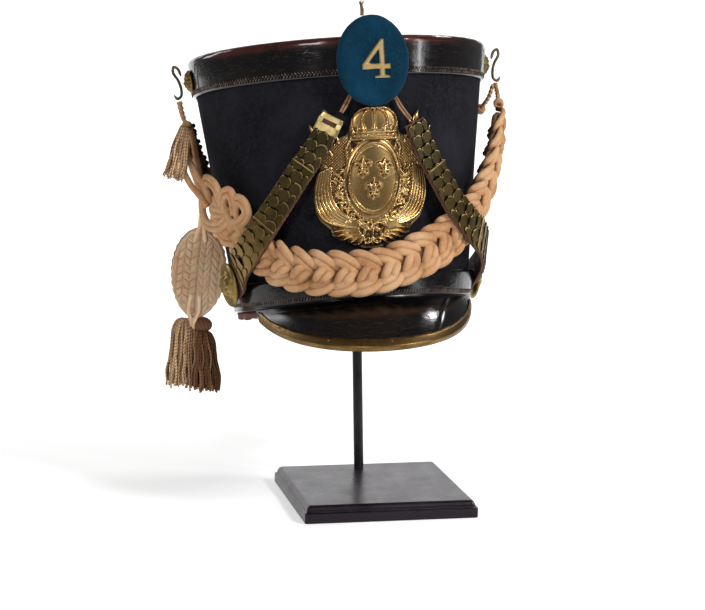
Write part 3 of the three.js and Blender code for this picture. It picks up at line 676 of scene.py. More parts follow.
def peak_reach(t):
    return np.clip(1 - np.asarray(t, float) ** 2, 0, 1) ** PEAK_POWER


def peak_point(t, s, lift=0.0):
    """A point of the peak's upper face: t runs from left end to right end, s from the root to the edge."""
    t, s, lift = together(t, s, lift)
    angle = PEAK_TURN + t * ARCH_HALF_ANGLE
    reach = peak_reach(t)
    rise = PEAK_BULGE * np.sin(math.pi * s) * reach / PEAK_LENGTH
    root = wall(angle, base_edge(angle) + PEAK_ROOT_RISE, PEAK_ROOT_OFFSET)
    ahead = PEAK_FORWARD * reach * s + PEAK_DROP * rise
    down = PEAK_DROP * reach * s - PEAK_FORWARD * rise
    return root - np.stack([0 * rise, ahead, down], -1) - PEAK_DOWN * lift[..., None]

PRESSED_LINES = (1.4, 2.8, 4.2, 5.6)
TRIM_GAP = 0.42
TRIM_METAL = 0.8
TRIM_ARM = 6.0
RIVETS = (-0.78, -0.42, 0.02, 0.46, 0.8)
RIVET_DOME = [(1.0, -0.1), (0.95, 0.2), (0.6, 0.42), (0.05, 0.5)]


def peak(paint):
    """Varnished leather, with pressed lines along its root and a long crease."""
    t = np.sin(np.linspace(-math.pi / 2, math.pi / 2, 200)) * PEAK_END
    across = t[:, None]
    s = np.linspace(0, 1, 60)
    along = s * PEAK_LENGTH * peak_reach(t)[:, None]
    lines = sum(0.42 * np.exp(-(((along - at) / 0.38) ** 2)) for at in PRESSED_LINES)
    fade = np.clip(1 - (across + 0.15) / 0.5, 0, 1) * np.clip((1 - np.abs(across)) * 12, 0, 1)
    crease = 0.35 * np.exp(-(((across - 0.62 + 0.25 * s) / 0.018) ** 2)) * np.sin(math.pi * s) ** 0.5
    lift = lines * fade - crease + 0.18 * np.sin(across * 9 + s * 5)
    upper = peak_point(across, s, lift)
    lower = peak_point(across, s[::2], -PEAK_THICKNESS)[:, ::-1]
    ring = np.concatenate([upper, lower], 1)
    shape = Shape()
    shape.closed(ring, t * 100, np.arange(ring.shape[1] + 1) * 0.8)
    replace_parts(shape.build("peak_leather", paint), "peak")


def trim_section(t):
    """The folded strip's outline at t, as distances out from the peak's edge and up from its face."""
    arm = min(TRIM_ARM, 0.55 * PEAK_LENGTH * float(peak_reach(t)))
    worn = arm + 0.25 * math.sin(t * 31) + 0.15 * math.sin(t * 67)
    low, high = -PEAK_THICKNESS - TRIM_GAP, TRIM_GAP
    middle, half = (high + low) / 2, TRIM_METAL + (high - low) / 2
    upper = [(-worn, high), (-worn, high + TRIM_METAL * 0.7), (-worn * 0.6, high + TRIM_METAL)]
    upper.append((0.4, high + TRIM_METAL))
    fold = [(0.7 + 1.1 * math.cos(a), middle + half * math.sin(a)) for a in np.linspace(1.2, -1.2, 7)]
    lower = [(0.4, low - TRIM_METAL), (-arm, low - TRIM_METAL), (-arm, low), (0.3, low), (0.3, high)]
    return upper + fold + lower


def peak_trim(paint):
    """The folded brass strip, a little uneven, with small rivets."""
    steps = np.sin(np.linspace(-math.pi / 2, math.pi / 2, 220)) * PEAK_END
    steps = steps[np.abs(steps) < PEAK_END * 0.988]
    rings = []
    for t in steps:
        edge = peak_point(t, 1)
        out = unit(edge - peak_point(t, 2 / 3))
        rings.append([edge + out * o - PEAK_DOWN * n for o, n in trim_section(t)])
    shape = Shape()
    shape.closed(rings, steps * 100, np.arange(len(rings[0]) + 1), tag=1.0, flip=True)
    turn = np.linspace(0, TURN, 12, endpoint=False)
    for t in RIVETS:
        edge = peak_point(t, 1)
        inwards = unit(peak_point(t, 2 / 3) - edge)
        centre = edge + inwards * 3 - PEAK_DOWN * (TRIM_GAP + TRIM_METAL)
        circle = np.outer(np.cos(turn), np.cross(inwards, PEAK_DOWN)) + np.outer(np.sin(turn), inwards)
        shape.grid([centre + circle * r - PEAK_DOWN * h for r, h in RIVET_DOME], wrap=True, tag=0.3)
    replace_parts(shape.build("peak_edge_strip", paint, tag_name="shade"), "peak_trim")


# --- The front plate ---

# The right half of the plate's outline, as distance from its middle line and height on the wall.
PLATE_TOP = [(0, 137.2), (5, 137), (10, 135.6), (14, 132.4), (16.4, 128), (17.4, 121), (19, 117.5), (24, 116)]
PLATE_TOP += [(29, 109.5), (33, 103), (36, 97), (38.4, 90), (39.6, 82)]
PLATE_LOW = [(0, 38.8), (6, 39.2), (11, 41), (15, 42.2), (17, 44.2), (21, 44.8), (24, 47.2), (27, 48.4)]
PLATE_LOW += [(28.2, 53), (31, 55.6), (35, 59.2), (38.4, 66), (39.6, 72)]
PLATE_HALF_WIDTH = 39.6
PLATE_LEAN = 0.066
PLATE_MIDDLE = 86.9
SHIELD_HALF = (17.0, 24.2)
INNER_FOLD = np.array([(29.5, 96), (29.8, 84), (28.2, 74.5), (23.8, 66.5), (16.5, 60.4), (8, 57)])
OUTER_FOLD = np.array([(37.2, 92), (39.6, 78), (37.4, 67.4), (32.2, 59.8), (24, 56), (11, 54.2)])
MAIL_PITCH = 2.1
# Where each scroll is, its radius and where it starts to turn.
SCROLLS = ((20.5, 70, 2.6, 0.5), (15, 61.5, 2.4, 1.5), (8.5, 57.6, 2.2, 2.2), (23.5, 77, 2.2, 0))
# The tip, the foot and the half width of each leaf below the shield.
PALM_LEAVES = (
    ((27.0, 51.4), (10, 51.8), 2.3),
    ((24.6, 47.9), (9.5, 49.6), 2.6),
    ((20.2, 45.3), (8, 47.6), 2.6),
    ((15.2, 43.2), (6.6, 46.4), 2.4),
    ((10.2, 41.4), (4.6, 45), 2.0),
)
# The points of each stroke of a lily, its half widths and its height. Side strokes are drawn on both sides.
LILY_STROKES = [
    ([(0, -0.2), (0, 0.45), (0, 1.0)], [0.225, 0.26, 0.05], 1.7),
    ([(-0.36, -0.2), (0.36, -0.2)], [0.12, 0.12], 1.7),
    ([(0, -0.3), (0, -0.95)], [0.16, 0.05], 1.4),
]
LILY_SIDE_STROKES = [
    ([(0.1, -0.15), (0.24, 0.3), (0.5, 0.52), (0.72, 0.38), (0.74, 0.12)], [0.12, 0.15, 0.14, 0.14, 0.06], 1.5),
    ([(0.05, -0.25), (0.22, -0.52), (0.42, -0.62), (0.46, -0.45)], [0.1, 0.1, 0.1, 0.05], 1.3),
]
LILIES = (((-8, 94.6), 7.2), ((7.3, 93.6), 7.2), ((-0.2, 79.4), 7.0))
CROWN_ARCHES = [
    [(14.6, 119.5), (16.4, 125), (14.6, 131), (9, 135), (2, 135.8)],
    [(7.6, 119.6), (9.2, 126), (7.2, 132), (1.5, 135.6)],
]
SPEARS = [
    ((-22, 112), (-31.4, 137.2)),
    ((-27, 104), (-41.8, 127.0)),
    ((-31, 96), (-47.7, 112.4)),
    ((24, 111), (36.3, 133.6)),
    ((29, 103), (45.3, 122.4)),
    ((33, 96), (49.5, 108.4)),
]


class Relief:
    """The stamped design: heights in mm above the sheet at places x and z on it."""

    def __init__(self, x, z):
        self.x = x
        self.z = z
        self.radial = np.hypot(x / SHIELD_HALF[0], (z - PLATE_MIDDLE) / SHIELD_HALF[1])
        self.height = np.zeros_like(x)

    def raise_to(self, where, heights):
        self.height[where] = np.maximum(self.height, heights)[where]

    def ridge(self, points, radius, lift):
        """A rounded ridge along a line of points. radius may change along it."""
        points = np.asarray(points, float)
        radii = np.broadcast_to(np.asarray(radius, float), (len(points),))
        reach = radii.max() + 0.2
        low, high = points.min(0) - reach, points.max(0) + reach
        inside = (self.x > low[0]) & (self.x < high[0]) & (self.z > low[1]) & (self.z < high[1])
        x, z = self.x[inside], self.z[inside]
        best = np.zeros_like(x)
        for (ax, az), (bx, bz), ra, rb in zip(points, points[1:], radii, radii[1:]):
            length = (bx - ax) ** 2 + (bz - az) ** 2 + 1e-9
            share = np.clip(((x - ax) * (bx - ax) + (z - az) * (bz - az)) / length, 0, 1)
            away = np.hypot(x - ax - share * (bx - ax), z - az - share * (bz - az))
            width = ra + (rb - ra) * share
            best = np.maximum(best, np.sqrt(np.clip(1 - (away / width) ** 2, 0, 1)))
        self.height[inside] = np.maximum(self.height[inside], best * lift)

    def dot(self, x, z, radius, lift):
        self.ridge([(x, z), (x + 0.05, z)], radius, lift)


def both_sides(points):
    """The line and its mirror image."""
    points = np.asarray(points, float)
    return points, points * (-1, 1)


def curl(centre, radius, start, turns, shrink=0.5, count=16):
    """A scroll: a spiral of points that tightens towards its centre."""
    angles = start + np.linspace(0, turns * TURN, count)
    reach = radius * (1 - (1 - shrink) * np.linspace(0, 1, count))
    return np.stack([np.cos(angles) * reach, np.sin(angles) * reach], 1) + centre


def shield_place(share_x, share_z, turn):
    """A place on an oval round the shield, given as shares of the shield's size."""
    return SHIELD_HALF[0] * share_x * math.cos(turn), PLATE_MIDDLE + SHIELD_HALF[1] * share_z * math.sin(turn)


def mantle(relief):
    """Hanging folds, and a field of mail between them and the shield."""
    widths = np.concatenate([np.full(12, 1.15), np.linspace(1.15, 1.6, 12)])
    for share in np.linspace(0, 1, 6):
        for line in both_sides(smooth_flat(INNER_FOLD * (1 - share) + OUTER_FOLD * share, 24)):
            relief.ridge(line, widths, 1.5 + share * 0.4)
    x, z = relief.x, relief.z
    mail = np.clip(np.cos(x * TURN / MAIL_PITCH) * np.cos(z * TURN / MAIL_PITCH), 0, 1) ** 0.7
    field = (np.abs(x) > 17) & (np.abs(x) < 36) & (z > 74) & (z < 116) & (relief.radial > 1.25)
    relief.raise_to(field, mail * 1.1)


def sprays(relief):
    """Small bent leaves scattered round the lower part of the shield."""
    picks = random.Random(3)
    for _ in range(150):
        turn = picks.uniform(math.pi * 0.93, math.pi * 2.07)
        reach = picks.uniform(1.17, 1.5)
        foot = shield_place(reach, reach, turn)
        lean = turn + picks.choice((-1, 1)) * picks.uniform(0.5, 1.3)
        bend = (foot[0] + 2.2 * math.cos(lean), foot[1] + 2.2 * math.sin(lean))
        tip = (bend[0] + 1.6 * math.cos(lean + 0.7), bend[1] + 1.6 * math.sin(lean + 0.7))
        relief.ridge([foot, bend, tip], [0.75, 0.85, 0.35], picks.uniform(1.2, 2.3))


def palm(relief):
    """Scrolls beside the shield, and leaves and a ribbon below it."""
    for x, z, radius, start in SCROLLS:
        for spiral in both_sides(curl((x, z), radius, start, 1.2)):
            relief.ridge(spiral, 0.6, 2.1)
    for tip, foot, fat in PALM_LEAVES:
        middle = ((tip[0] + foot[0]) / 2, (tip[1] + foot[1]) / 2 + 1.0)
        for leaf in both_sides([foot, middle, tip]):
            relief.ridge(leaf, [fat * 0.7, fat, fat * 0.4], 2.0)
            relief.ridge(leaf + (0, 0.1), [0.5, 0.6, 0.3], 2.7)
    for spiral in both_sides(curl((3.6, 44.2), 2.9, 2.6, 1.3, 0.35)):
        relief.ridge(spiral, 0.75, 2.5)
    for ribbon in both_sides([(1.5, 53), (5.4, 51), (6.4, 47), (4, 41)]):
        relief.ridge(ribbon, [1, 1.2, 1, 0.6], 1.9)
    relief.ridge([(0, 54), (0, 41)], [1.4, 0.8], 2.2)


def lily(relief, centre, size):
    """A fleur-de-lis: three petals, a bar and three feet."""
    strokes = LILY_STROKES + LILY_SIDE_STROKES
    strokes += [(both_sides(points)[1], radii, lift) for points, radii, lift in LILY_SIDE_STROKES]
    for points, radii, lift in strokes:
        relief.ridge(np.array(points) * size + centre, np.array(radii) * size, lift)


def shield(relief):
    """The domed oval with its lilies, inside ridges and a ring of beads."""
    radial = relief.radial
    field, border = radial < 1.02, (radial >= 1.02) & (radial < 1.24)
    relief.height[field] = (2.6 + 1.4 * np.clip(1 - radial**2, 0, 1))[field]
    relief.raise_to(border, 1.2 + np.clip((1.24 - radial) / 0.2, 0, 1))
    for share, width, lift in ((1.02, 0.75, 4.0), (0.925, 0.42, 3.45), (1.17, 0.6, 2.7)):
        relief.ridge([shield_place(share, share, a) for a in np.linspace(0, TURN, 90)], width, lift)
    for a in np.linspace(0, TURN, 46, endpoint=False):
        big = 1.0 if int(round(a / TURN * 44)) % 5 == 0 else 0.5
        relief.dot(*shield_place(1.21, 1.17, a), big, 2.4 + 1.2 * big)
    lilies = Relief(relief.x, relief.z)
    for centre, size in LILIES:
        lily(lilies, centre, size)
    relief.height += lilies.height


def crown(relief):
    """The crown at the top of the plate: arches with pearls over a jewelled band."""
    x, z = relief.x, relief.z
    cap = np.clip(1 - (x / 16.5) ** 2 - ((z - 122) / 15.5) ** 2, 0, 1) ** 0.5
    relief.raise_to((z > 113.5) & (np.abs(x) < 16.8), 1.2 + cap * 1.4)
    for arch in CROWN_ARCHES:
        for line in both_sides(smooth_flat(arch, 20)):
            relief.ridge(line, 1.15, 3.3)
            for px, pz in line[1::3]:
                relief.dot(px, pz, 0.8, 4.0)
    relief.ridge([(0, 119), (0, 135)], 1.2, 3.4)
    relief.dot(0, 135.4, 1.9, 4.0)
    for level, lift in ((119.2, 3.5), (114.4, 3.2)):
        relief.ridge([(-15.4, level - 0.4), (0, level), (15.4, level - 0.4)], 0.8, lift)
    for px in np.linspace(-13.4, 13.4, 8):
        relief.ridge([(px - 0.7, 116.7), (px + 0.7, 116.7)], 1.0, 3.4)
    for px in (-12, -7.5, 0, 7.5, 12):
        relief.ridge([(px, 120.5), (px, 123.4)], [1.3, 0.6], 3.7)
        relief.ridge([(px - 1.3, 121.2), (px + 1.3, 121.2)], 0.55, 3.5)


def holes_and_ties(relief):
    for side in (-1, 1):
        away = np.hypot(relief.x - side * 14.2, relief.z - 110.6)
        relief.height -= 2.4 * np.clip(1 - (away / 2.0) ** 6, 0, 1) * (away < 2.0)
    for tie in both_sides([(17, 113), (19.5, 108), (18.4, 101)]):
        relief.ridge(tie, [1, 1.1, 0.6], 1.7)


def plate_relief(x, z):
    """The whole design. The order matters, because the shield covers what lies under it."""
    relief = Relief(x, z)
    for part in (mantle, sprays, palm, shield, crown, holes_and_ties):
        part(relief)
    return relief.height


def blurred(values, reach):
    """values smoothed over a square, for telling ridges from hollows."""
    padded = np.pad(np.pad(values, reach, mode="edge"), ((1, 0), (1, 0)))
    total = np.cumsum(np.cumsum(padded, 0), 1)
    side = 2 * reach + 1
    rows = total[side:] - total[:-side]
    return (rows[:, side:] - rows[:, :-side]) / side**2


def spear(shape, foot, tip):
    """A spear point that leaves the plate: shaft, knop, barbs and blade."""
    foot, tip = np.array(foot, float), np.array(tip, float)
    heading = (tip - foot) / np.linalg.norm(tip - foot)
    side = np.array([-heading[1], heading[0]])
    length = np.linalg.norm(tip - foot)

    def part(points, radii):
        line = np.array([front_point(px, pz, -0.4) for px, pz in points])
        shape.tube(line, radii, sides=8, flat=0.6, up=(0, -1, 0), tag=draw.uniform(0.4, 1))

    steps = np.linspace(0, 1, 14)
    radii = np.interp(steps, [0, 0.5, 0.52, 0.6, 0.62, 0.8, 1], [0.9, 0.9, 1.8, 1.8, 1.1, 2.5, 0.15])
    part([foot + heading * length * s for s in steps], radii)
    for turn in (-1, 1):
        start = foot + heading * length * 0.56
        bend = start + side * turn * 2.4 + heading * 0.6
        barb = start + side * turn * 3.4 + heading * 3
        part([start, bend, barb], [1.0, 0.9, 0.25])


def front_plate(paint):
    columns = np.linspace(-PLATE_HALF_WIDTH, PLATE_HALF_WIDTH, 232)
    share = np.linspace(0, 1, 260)
    high = np.interp(np.abs(columns), *np.array(PLATE_TOP).T)[:, None]
    low = np.interp(np.abs(columns), *np.array(PLATE_LOW).T)[:, None]
    z = low + (high - low) * share
    x = columns[:, None] + 0 * z
    relief = plate_relief(x, z)
    edge = np.minimum(share, 1 - share) * (high - low)
    relief = relief * np.clip(edge / 0.8, 0.2, 1)
    # The tag for the brass paint: low in the hollows and on the low sheet, where it puts painted shade.
    proud = np.clip(0.55 + (relief - blurred(relief, 4)) * 0.9, 0, 1)
    depth = proud * np.clip(0.4 + relief * 0.5, 0.2, 1)
    x = x + PLATE_LEAN * (z - PLATE_MIDDLE)
    front = front_point(x, z, -0.9 + relief)
    back = front_point(x[:, ::-20], z[:, ::-20], -2.0)
    ring = np.concatenate([front, back], 1)
    tags = np.concatenate([depth, 0 * back[..., 0]], 1)
    shape = Shape()
    shape.closed(ring, columns, np.arange(ring.shape[1] + 1) * 0.4, tag=tags)
    for foot, tip in SPEARS:
        spear(shape, foot, tip)
    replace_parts(shape.build("plate_relief", paint, tag_name="depth"), "front_plate")


# --- The pompom ---

POMPOM_PLACE = (2.5, 167.5)
POMPOM_OFFSET = 2.6
POMPOM_HALF = (25.5, 31.5)
# The lens from the middle of its back to the middle of its face, as radius and distance forward.
POMPOM_PROFILE = [(0.5, 0), (21.5, 0.2), (24.6, 2.0), (25.5, 4.6), (24.0, 7.2), (19.5, 8.9), (10, 9.6), (0.4, 9.8)]
POMPOM_LEAN = np.array(Matrix.Rotation(math.radians(2.7), 3, "X"))
NUMERAL_PLACE = np.array([0.9, -10.0, 1.0])
NUMERAL_OUTLINE = [
    (-9.8, -3.8), (3.8, 13.3), (6.2, 13.3), (6.2, -3.6), (10.2, -3.6), (10.2, -7.2), (6.2, -7.2), (6.2, -11.3),
    (9.4, -12.1), (9.4, -13.3), (-1, -13.3), (-1, -12.1), (2.2, -11.3), (2.2, -7.2), (-9.8, -7.2),
]
# How far out each ring of the figure lies, and how far in from its outline.
NUMERAL_BEVEL = [(0.0, 0.0), (0.7, 0.0), (1.5, 0.8)]
NUMERAL_HOLE = [(2.4, 6.1), (-5.4, -3.4), (2.4, -3.4)]


def on_pompom(points):
    """From the pompom's own frame, its face towards -Y, to the hat's."""
    return np.asarray(points, float) @ POMPOM_LEAN.T + front_point(*POMPOM_PLACE, POMPOM_OFFSET)


def pompom():
    """A felted wool lens with an uneven, slightly woolly face."""
    paint = soft_paint("blue_wool", "02161f", "0b374e", 800, sheen=0.04)
    rows, columns = 90, 180
    profile = smooth_flat(POMPOM_PROFILE, rows)
    radius, depth = profile[:, :1] / POMPOM_HALF[0], profile[:, 1:]
    turn = np.linspace(0, TURN, columns, endpoint=False)
    lumps = 0.35 * np.sin(turn * 5 + radius * 7) + 0.25 * np.sin(turn * 11 - radius * 13)
    lumps = lumps + 0.12 * np.sin(turn * 29)
    fuzz = np.array([draw.uniform(-0.09, 0.09) for _ in range(rows * columns)]).reshape(rows, columns)
    face = np.clip(depth / 9, 0, 1)
    reach = radius * (1 + 0.012 * lumps * face)
    forward = depth + (lumps * 0.5 + fuzz) * face
    across, up = POMPOM_HALF[0] * reach * np.cos(turn), POMPOM_HALF[1] * reach * np.sin(turn)
    shape = Shape()
    shape.closed(on_pompom(np.stack([across, -forward, up], -1)))
    piece = shape.build("pompom_felt", paint)
    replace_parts(piece, "pompom")


def inset_outline(points, distance):
    """The outline moved sideways by a distance, whose sign picks the side."""
    points = np.asarray(points, float)
    before, after = np.roll(points, 1, 0), np.roll(points, -1, 0)
    d0, d1 = unit(points - before), unit(after - points)
    n0, n1 = np.stack([d0[:, 1], -d0[:, 0]], 1), np.stack([d1[:, 1], -d1[:, 0]], 1)
    mitre = n0 + n1
    scale = np.minimum(2 / np.maximum(np.sum(mitre**2, 1), 0.3), 2.5)
    return points + mitre * scale[:, None] * distance


def signed_area(outline):
    """Twice the outline's area, positive if it runs anticlockwise."""
    after = np.roll(outline, -1, 0)
    return np.sum(outline[:, 0] * after[:, 1] - after[:, 0] * outline[:, 1])


def numeral(paint):
    """The brass figure: a flat body with a bevelled edge and one hole."""
    shape = Shape()
    loops = []
    for outline, sign in ((NUMERAL_OUTLINE, 1), (NUMERAL_HOLE, -1)):
        outline = np.array(outline, float)
        clockwise = signed_area(outline) < 0
        facing = sign if clockwise else -sign
        rings = []
        for depth, inset in NUMERAL_BEVEL:
            ring = inset_outline(outline, inset * facing)
            rings.append(np.stack([ring[:, 0], -depth + 0 * ring[:, 0], ring[:, 1]], 1))
        loops.append(rings)
        shape.grid(on_pompom(np.array(rings) + NUMERAL_PLACE), wrap=True, flip=facing < 0)
    for index, flip in ((-1, False), (0, True)):
        outer, hole = loops[0][index], loops[1][index]
        flat = [[Vector((p[0], p[2], 0)) for p in ring] for ring in (outer, hole)]
        points = np.concatenate([outer, hole])
        first = shape.count
        shape.points.append(on_pompom(points + NUMERAL_PLACE))
        shape.tags.append(np.zeros(len(points)))
        shape.count += len(points)
        for face in tessellate_polygon(flat):
            faces_front = signed_area(points[list(face)][:, ::2]) > 0
            order = list(face) if faces_front != flip else list(face)[::-1]
            shape.faces.append([first + i for i in order])
            shape.uvs.append(np.zeros((3, 2)))
    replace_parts(shape.build("numeral_four", paint, smooth=False), "pompom_numeral")


def pompom_tip():
    """The frayed stub of twisted tuft on top of the pompom."""
    paint = thread_paint("tuft_thread", "3d2417", "93683f")
    shape = Shape()
    foot = np.array([-6, -4.8, POMPOM_HALF[1] - 0.4])
    for index in range(9):
        turn = index * 2.4
        spread = np.array([math.cos(turn), math.sin(turn) * 0.6, 0])
        knots = [spread * 0.7, spread * 0.9 + (0.3, 0, 4), spread * 0.8 + (-0.2, 0, 7.5)]
        fray = draw.uniform(1.0, 2.2)
        knots.append(spread * fray + (draw.uniform(-0.8, 0.8), 0, draw.uniform(9.5, 11.6)))
        line = on_pompom(smooth_line(foot + np.array(knots), 18))
        shape.tube(line, np.linspace(0.62, 0.22, 18), sides=6, tag=draw.random())
    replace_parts(shape.build("tuft_strands", paint, tag_name="shade"), "pompom_tip")


# --- Chin straps ---

# Each strap from its tip to its boss: angle, height, offset and width.
LEFT_STRAP = [
    (-14, 131, 4, 17), (-20, 113, 4.4, 18), (-30, 91, 6, 19.5), (-39, 71, 9, 21), (-47, 54, 12.6, 22.5),
    (-55, 40.5, 13.4, 24), (-62, 32.5, 10.6, 25), (-70, 25.4, 3.8, 25), (-78, 20, 2.2, 24),
]
RIGHT_STRAP = [
    (17, 124.5, 4, 17), (21.5, 106, 4.4, 18), (27.8, 85, 7, 20), (32.8, 68.5, 11, 22), (38.5, 57, 13.4, 23.5),
    (45.5, 47.5, 14.4, 25), (54, 40.5, 13, 26), (64, 34, 9.4, 26), (75, 27, 5.4, 26), (84, 20.6, 3, 25),
    (92, 15, 2.2, 24),
]
SCALE_PITCH = 8.2
SCALE_REACH = 11.4
SCALE_ROUNDING = 3.8
SCALE_ROOT = 1.2
SCALE_THICKNESS = 0.75
SCALE_TONE_RUN = 190.0
STRAP_HALF_THICKNESS = 1.0


def strap_leather(name, node, route, paint):
    """The backing strip, a little worn along both edges."""
    run = np.linspace(0, route.length, 260)
    rings = []
    for s, half in zip(run, route.at(route.width, run) / 2):
        wear = 0.25 * math.sin(s * 1.7) + 0.2 * math.sin(s * 3.9)
        side = half - 0.3 + wear * 0.6
        under = [(-side, -0.7), (0.5 - side, -1), (side - 0.5, -1), (side, -0.7)]
        over = [(u, -n) for u, n in reversed(under)]
        rings.append([route.place(s, u, n) for u, n in under + over])
    shape = Shape()
    shape.closed(rings, run, np.arange(9) * 2.0)
    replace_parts(shape.build(name, paint), node)


def one_scale(shape, route, s, u0, u1, lift):
    """A domed scale, rounded towards the strap's tip, between shares u0 and u1 of the half width."""
    across = np.linspace(0, 1, 13)
    run = np.linspace(0, 1, 12)[:, None]
    lobe = np.sqrt(np.clip(1 - (2 * across - 1) ** 2, 0, 1))
    tip = SCALE_REACH - SCALE_ROUNDING * (1 - lobe)
    place = s + SCALE_ROOT - (SCALE_ROOT + tip) * run
    half = route.at(route.width, place) / 2 - 0.5
    inset = np.where(across < 0.5, 1, -1) * 0.12
    u = (u0 + (u1 - u0) * across) * half + inset
    dome = 0.32 * lobe**0.8 * np.sin(np.clip(run * 0.78 + 0.12, 0, 1) * math.pi) ** 0.6
    raised = STRAP_HALF_THICKNESS + 0.35 + lift * run**1.2 + dome
    upper = route.place(place, u, raised)
    lower = route.place(place, u, np.maximum(raised - SCALE_THICKNESS, STRAP_HALF_THICKNESS + 0.05))
    # The tag: low at the root, for a painted shadow under the row above, and high at the rounded tip, for wear.
    edge = 0.35 * np.minimum(run / 0.3, 1) + 0.65 * run**7 + 0 * lobe
    ring = np.concatenate([upper, lower[:, ::-1]], 1)
    around = s / route.length + np.arange(ring.shape[1] + 1) / 100
    shape.closed(ring, place[:, 0], around, tag=np.concatenate([edge, 0 * edge], 1))


def strap_scales(name, nodes, route, start, foot, paint):
    """Rows of scales from the boss end to the tip, each over the root of the next."""
    shape = Shape()
    rows = int(round((foot - start - SCALE_REACH) / SCALE_PITCH)) + 1
    pitch = (foot - start - SCALE_REACH) / (rows - 1)
    for row in range(rows):
        s = foot - row * pitch
        if row % 2:
            spans = [(-1, -0.005), (0.005, 1)]
        else:
            spans = [(-1, -0.505), (-0.495, 0.495), (0.505, 1)]
        for u0, u1 in spans:
            one_scale(shape, route, s + draw.uniform(-0.15, 0.15), u0, u1, 1.15 + draw.uniform(-0.1, 0.15))
    for share in (0.2, 0.56):
        s = start + (foot - start) * share
        half = float(route.at(route.width, s)) / 2 - 0.5
        across = np.linspace(-half, half, 14)
        shape.tube(route.place(s + 0.04 * across, across, 3.3), 0.5, sides=8, tag=1.6)
    piece = shape.build(name, paint, tag_name="shade")
    for node in nodes:
        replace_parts(piece, node)


def scale_paint(name):
    """Scales: pale worn edges, painted shadow at their roots under the row above, greener towards the tips and more
    golden towards the bosses.
    """
    paint = Paint(name, roughness=0.4, metallic=1.0)
    along, _, _ = paint.split(paint.uv)
    # The tag holds tip wear where it is high and painted shadow where it is low.
    worn = paint.tag("shade")
    patches = paint.noise(80, 5, 0.65)
    age = paint.math("MULTIPLY_ADD", patches, 0.35, paint.math("DIVIDE", along, SCALE_TONE_RUN))
    base = paint.ramp(age, (0.3, "3a3320"), (0.62, "5a4a2a"), (1.0, "9a7a44"))
    edge = paint.ramp(paint.math("MULTIPLY_ADD", patches, 0.3, worn), (0.85, 0.0), (1.3, 0.7))
    colour = paint.mix(edge, base, "ab935c")
    shadow = paint.ramp(worn, (0.0, 0.75), (0.22, 0.0))
    paint.set("Base Color", paint.mix(shadow, colour, "1a1409"))
    paint.set("Metallic", paint.ramp(worn, (0.0, 0.5), (0.35, 0.95)))
    paint.set("Roughness", paint.ramp(patches, (0.3, 0.3), (0.7, 0.52)))
    return paint.bump((patches, 0.25, 0.4), (paint.noise(600, 3), 0.2, 0.1))


def strap_end(route, paint):
    """The pale brass plate with a slot that ends the left strap: two bars across and two short sides."""
    start, finish = 0.3, 13.0
    slot_from, slot_to, slot_half = 4.0, 7.0, 5.0
    face, back = 2.5, 1.3
    shape = Shape()
    u = np.linspace(-1, 1, 34)
    for low, high in ((start, slot_from), (slot_to, finish)):
        run = np.linspace(low, high, 14)[:, None]
        across = u * route.at(route.width, run) / 2 * (np.clip((run - start) / 3, 0, 1) ** 0.5 * 0.12 + 0.88)
        upper = route.place(run, across, face - 0.5 * u**8)
        under = route.place(run, across[:, ::-1], back)
        shape.closed(np.concatenate([upper, under], 1))
    for turn in (-1, 1):
        run = np.linspace(slot_from - 0.6, slot_to + 0.6, 12)[:, None]
        inner, outer = turn * slot_half, turn * route.at(route.width, run) / 2
        across = inner + (outer - inner) * np.linspace(0, 1, 10)
        upper = route.place(run, across, face)
        under = route.place(run, across[:, ::-1], back)
        shape.closed(np.concatenate([upper, under], 1), flip=turn < 0)
    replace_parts(shape.build("slotted_plate", paint), "strap_end_left")


# --- Bosses, hooks and thongs ---

# The bosses from their edge to their middle, as radius and height, and where each is, as angle and height.
CHIN_BOSS = [(15.4, 0.1), (16.2, 1.2), (15.6, 2.3), (14.0, 2.9), (13.0, 2.2), (12.2, 2.3), (11.4, 3.6)]
CHIN_BOSS += [(10.4, 4.4), (9.6, 4.0), (8.8, 4.3), (7.0, 5.8), (4.4, 6.6), (1.6, 6.9), (0.2, 6.9)]
CHIN_BOSSES = {"left": (-78, 20), "right": (92, 15)}
HOOK_BOSS = [(8.0, 0.1), (8.4, 1.0), (7.9, 1.7), (7.2, 1.5), (6.4, 2.6), (5.6, 3.4), (3.0, 4.6), (0.2, 5.0)]
HOOKS = {"left": (-90, 170), "right": (86, 172)}
# The bent wire, as offset from the wall and height over its boss.
HOOK_ROUTE = [(6.9, 4), (8.4, 9.6), (11, 11), (12.2, 7), (9.6, 1), (8.6, -5), (9.6, -10.4), (12.6, -12.3)]
HOOK_ROUTE += [(14.6, -9.4)]
# Across, up, radius and height of each feature of the mask: eyes, nose, muzzle, brows and mouth.
MASK_FEATURES = [
    (-1.8, 1.3, 0.9, -0.9),
    (1.8, 1.3, 0.9, -0.9),
    (0, -0.8, 1.5, 1.1),
    (0, -3.2, 1.3, 0.7),
    (-1.9, 2.8, 1.0, 0.6),
    (1.9, 2.8, 1.0, 0.6),
    (0, -2.2, 0.6, -0.9),
]


def turned_on_wall(shape, profile, angle, z, offset, relief, sides=72):
    """A turned disc on the wall. relief(radius, turn) adds to it; the tag is higher where it is proud, and lower on
    steep slopes, where the brass paint puts painted shade.
    """
    profile = smooth_flat(profile, 70)
    out = wall_out(angle)
    across = unit(np.cross((0, 0, 1), out))
    up = np.cross(out, across)
    turn = np.linspace(0, TURN, sides, endpoint=False)
    radius = profile[:, :1] + 0 * turn
    extra = relief(radius, turn + 0 * radius)
    points = (
        wall(angle, z, offset)
        + across * (radius * np.cos(turn))[..., None]
        + up * (radius * np.sin(turn))[..., None]
        + out * (profile[:, 1:] + extra)[..., None]
    )
    slope = np.abs(np.gradient(profile[:, 1]))[:, None]
    tag = np.clip(0.75 - slope * 1.2 + extra * 0.5, 0, 1)
    shape.closed(points, profile[:, 0], np.arange(sides + 1), tag=tag)


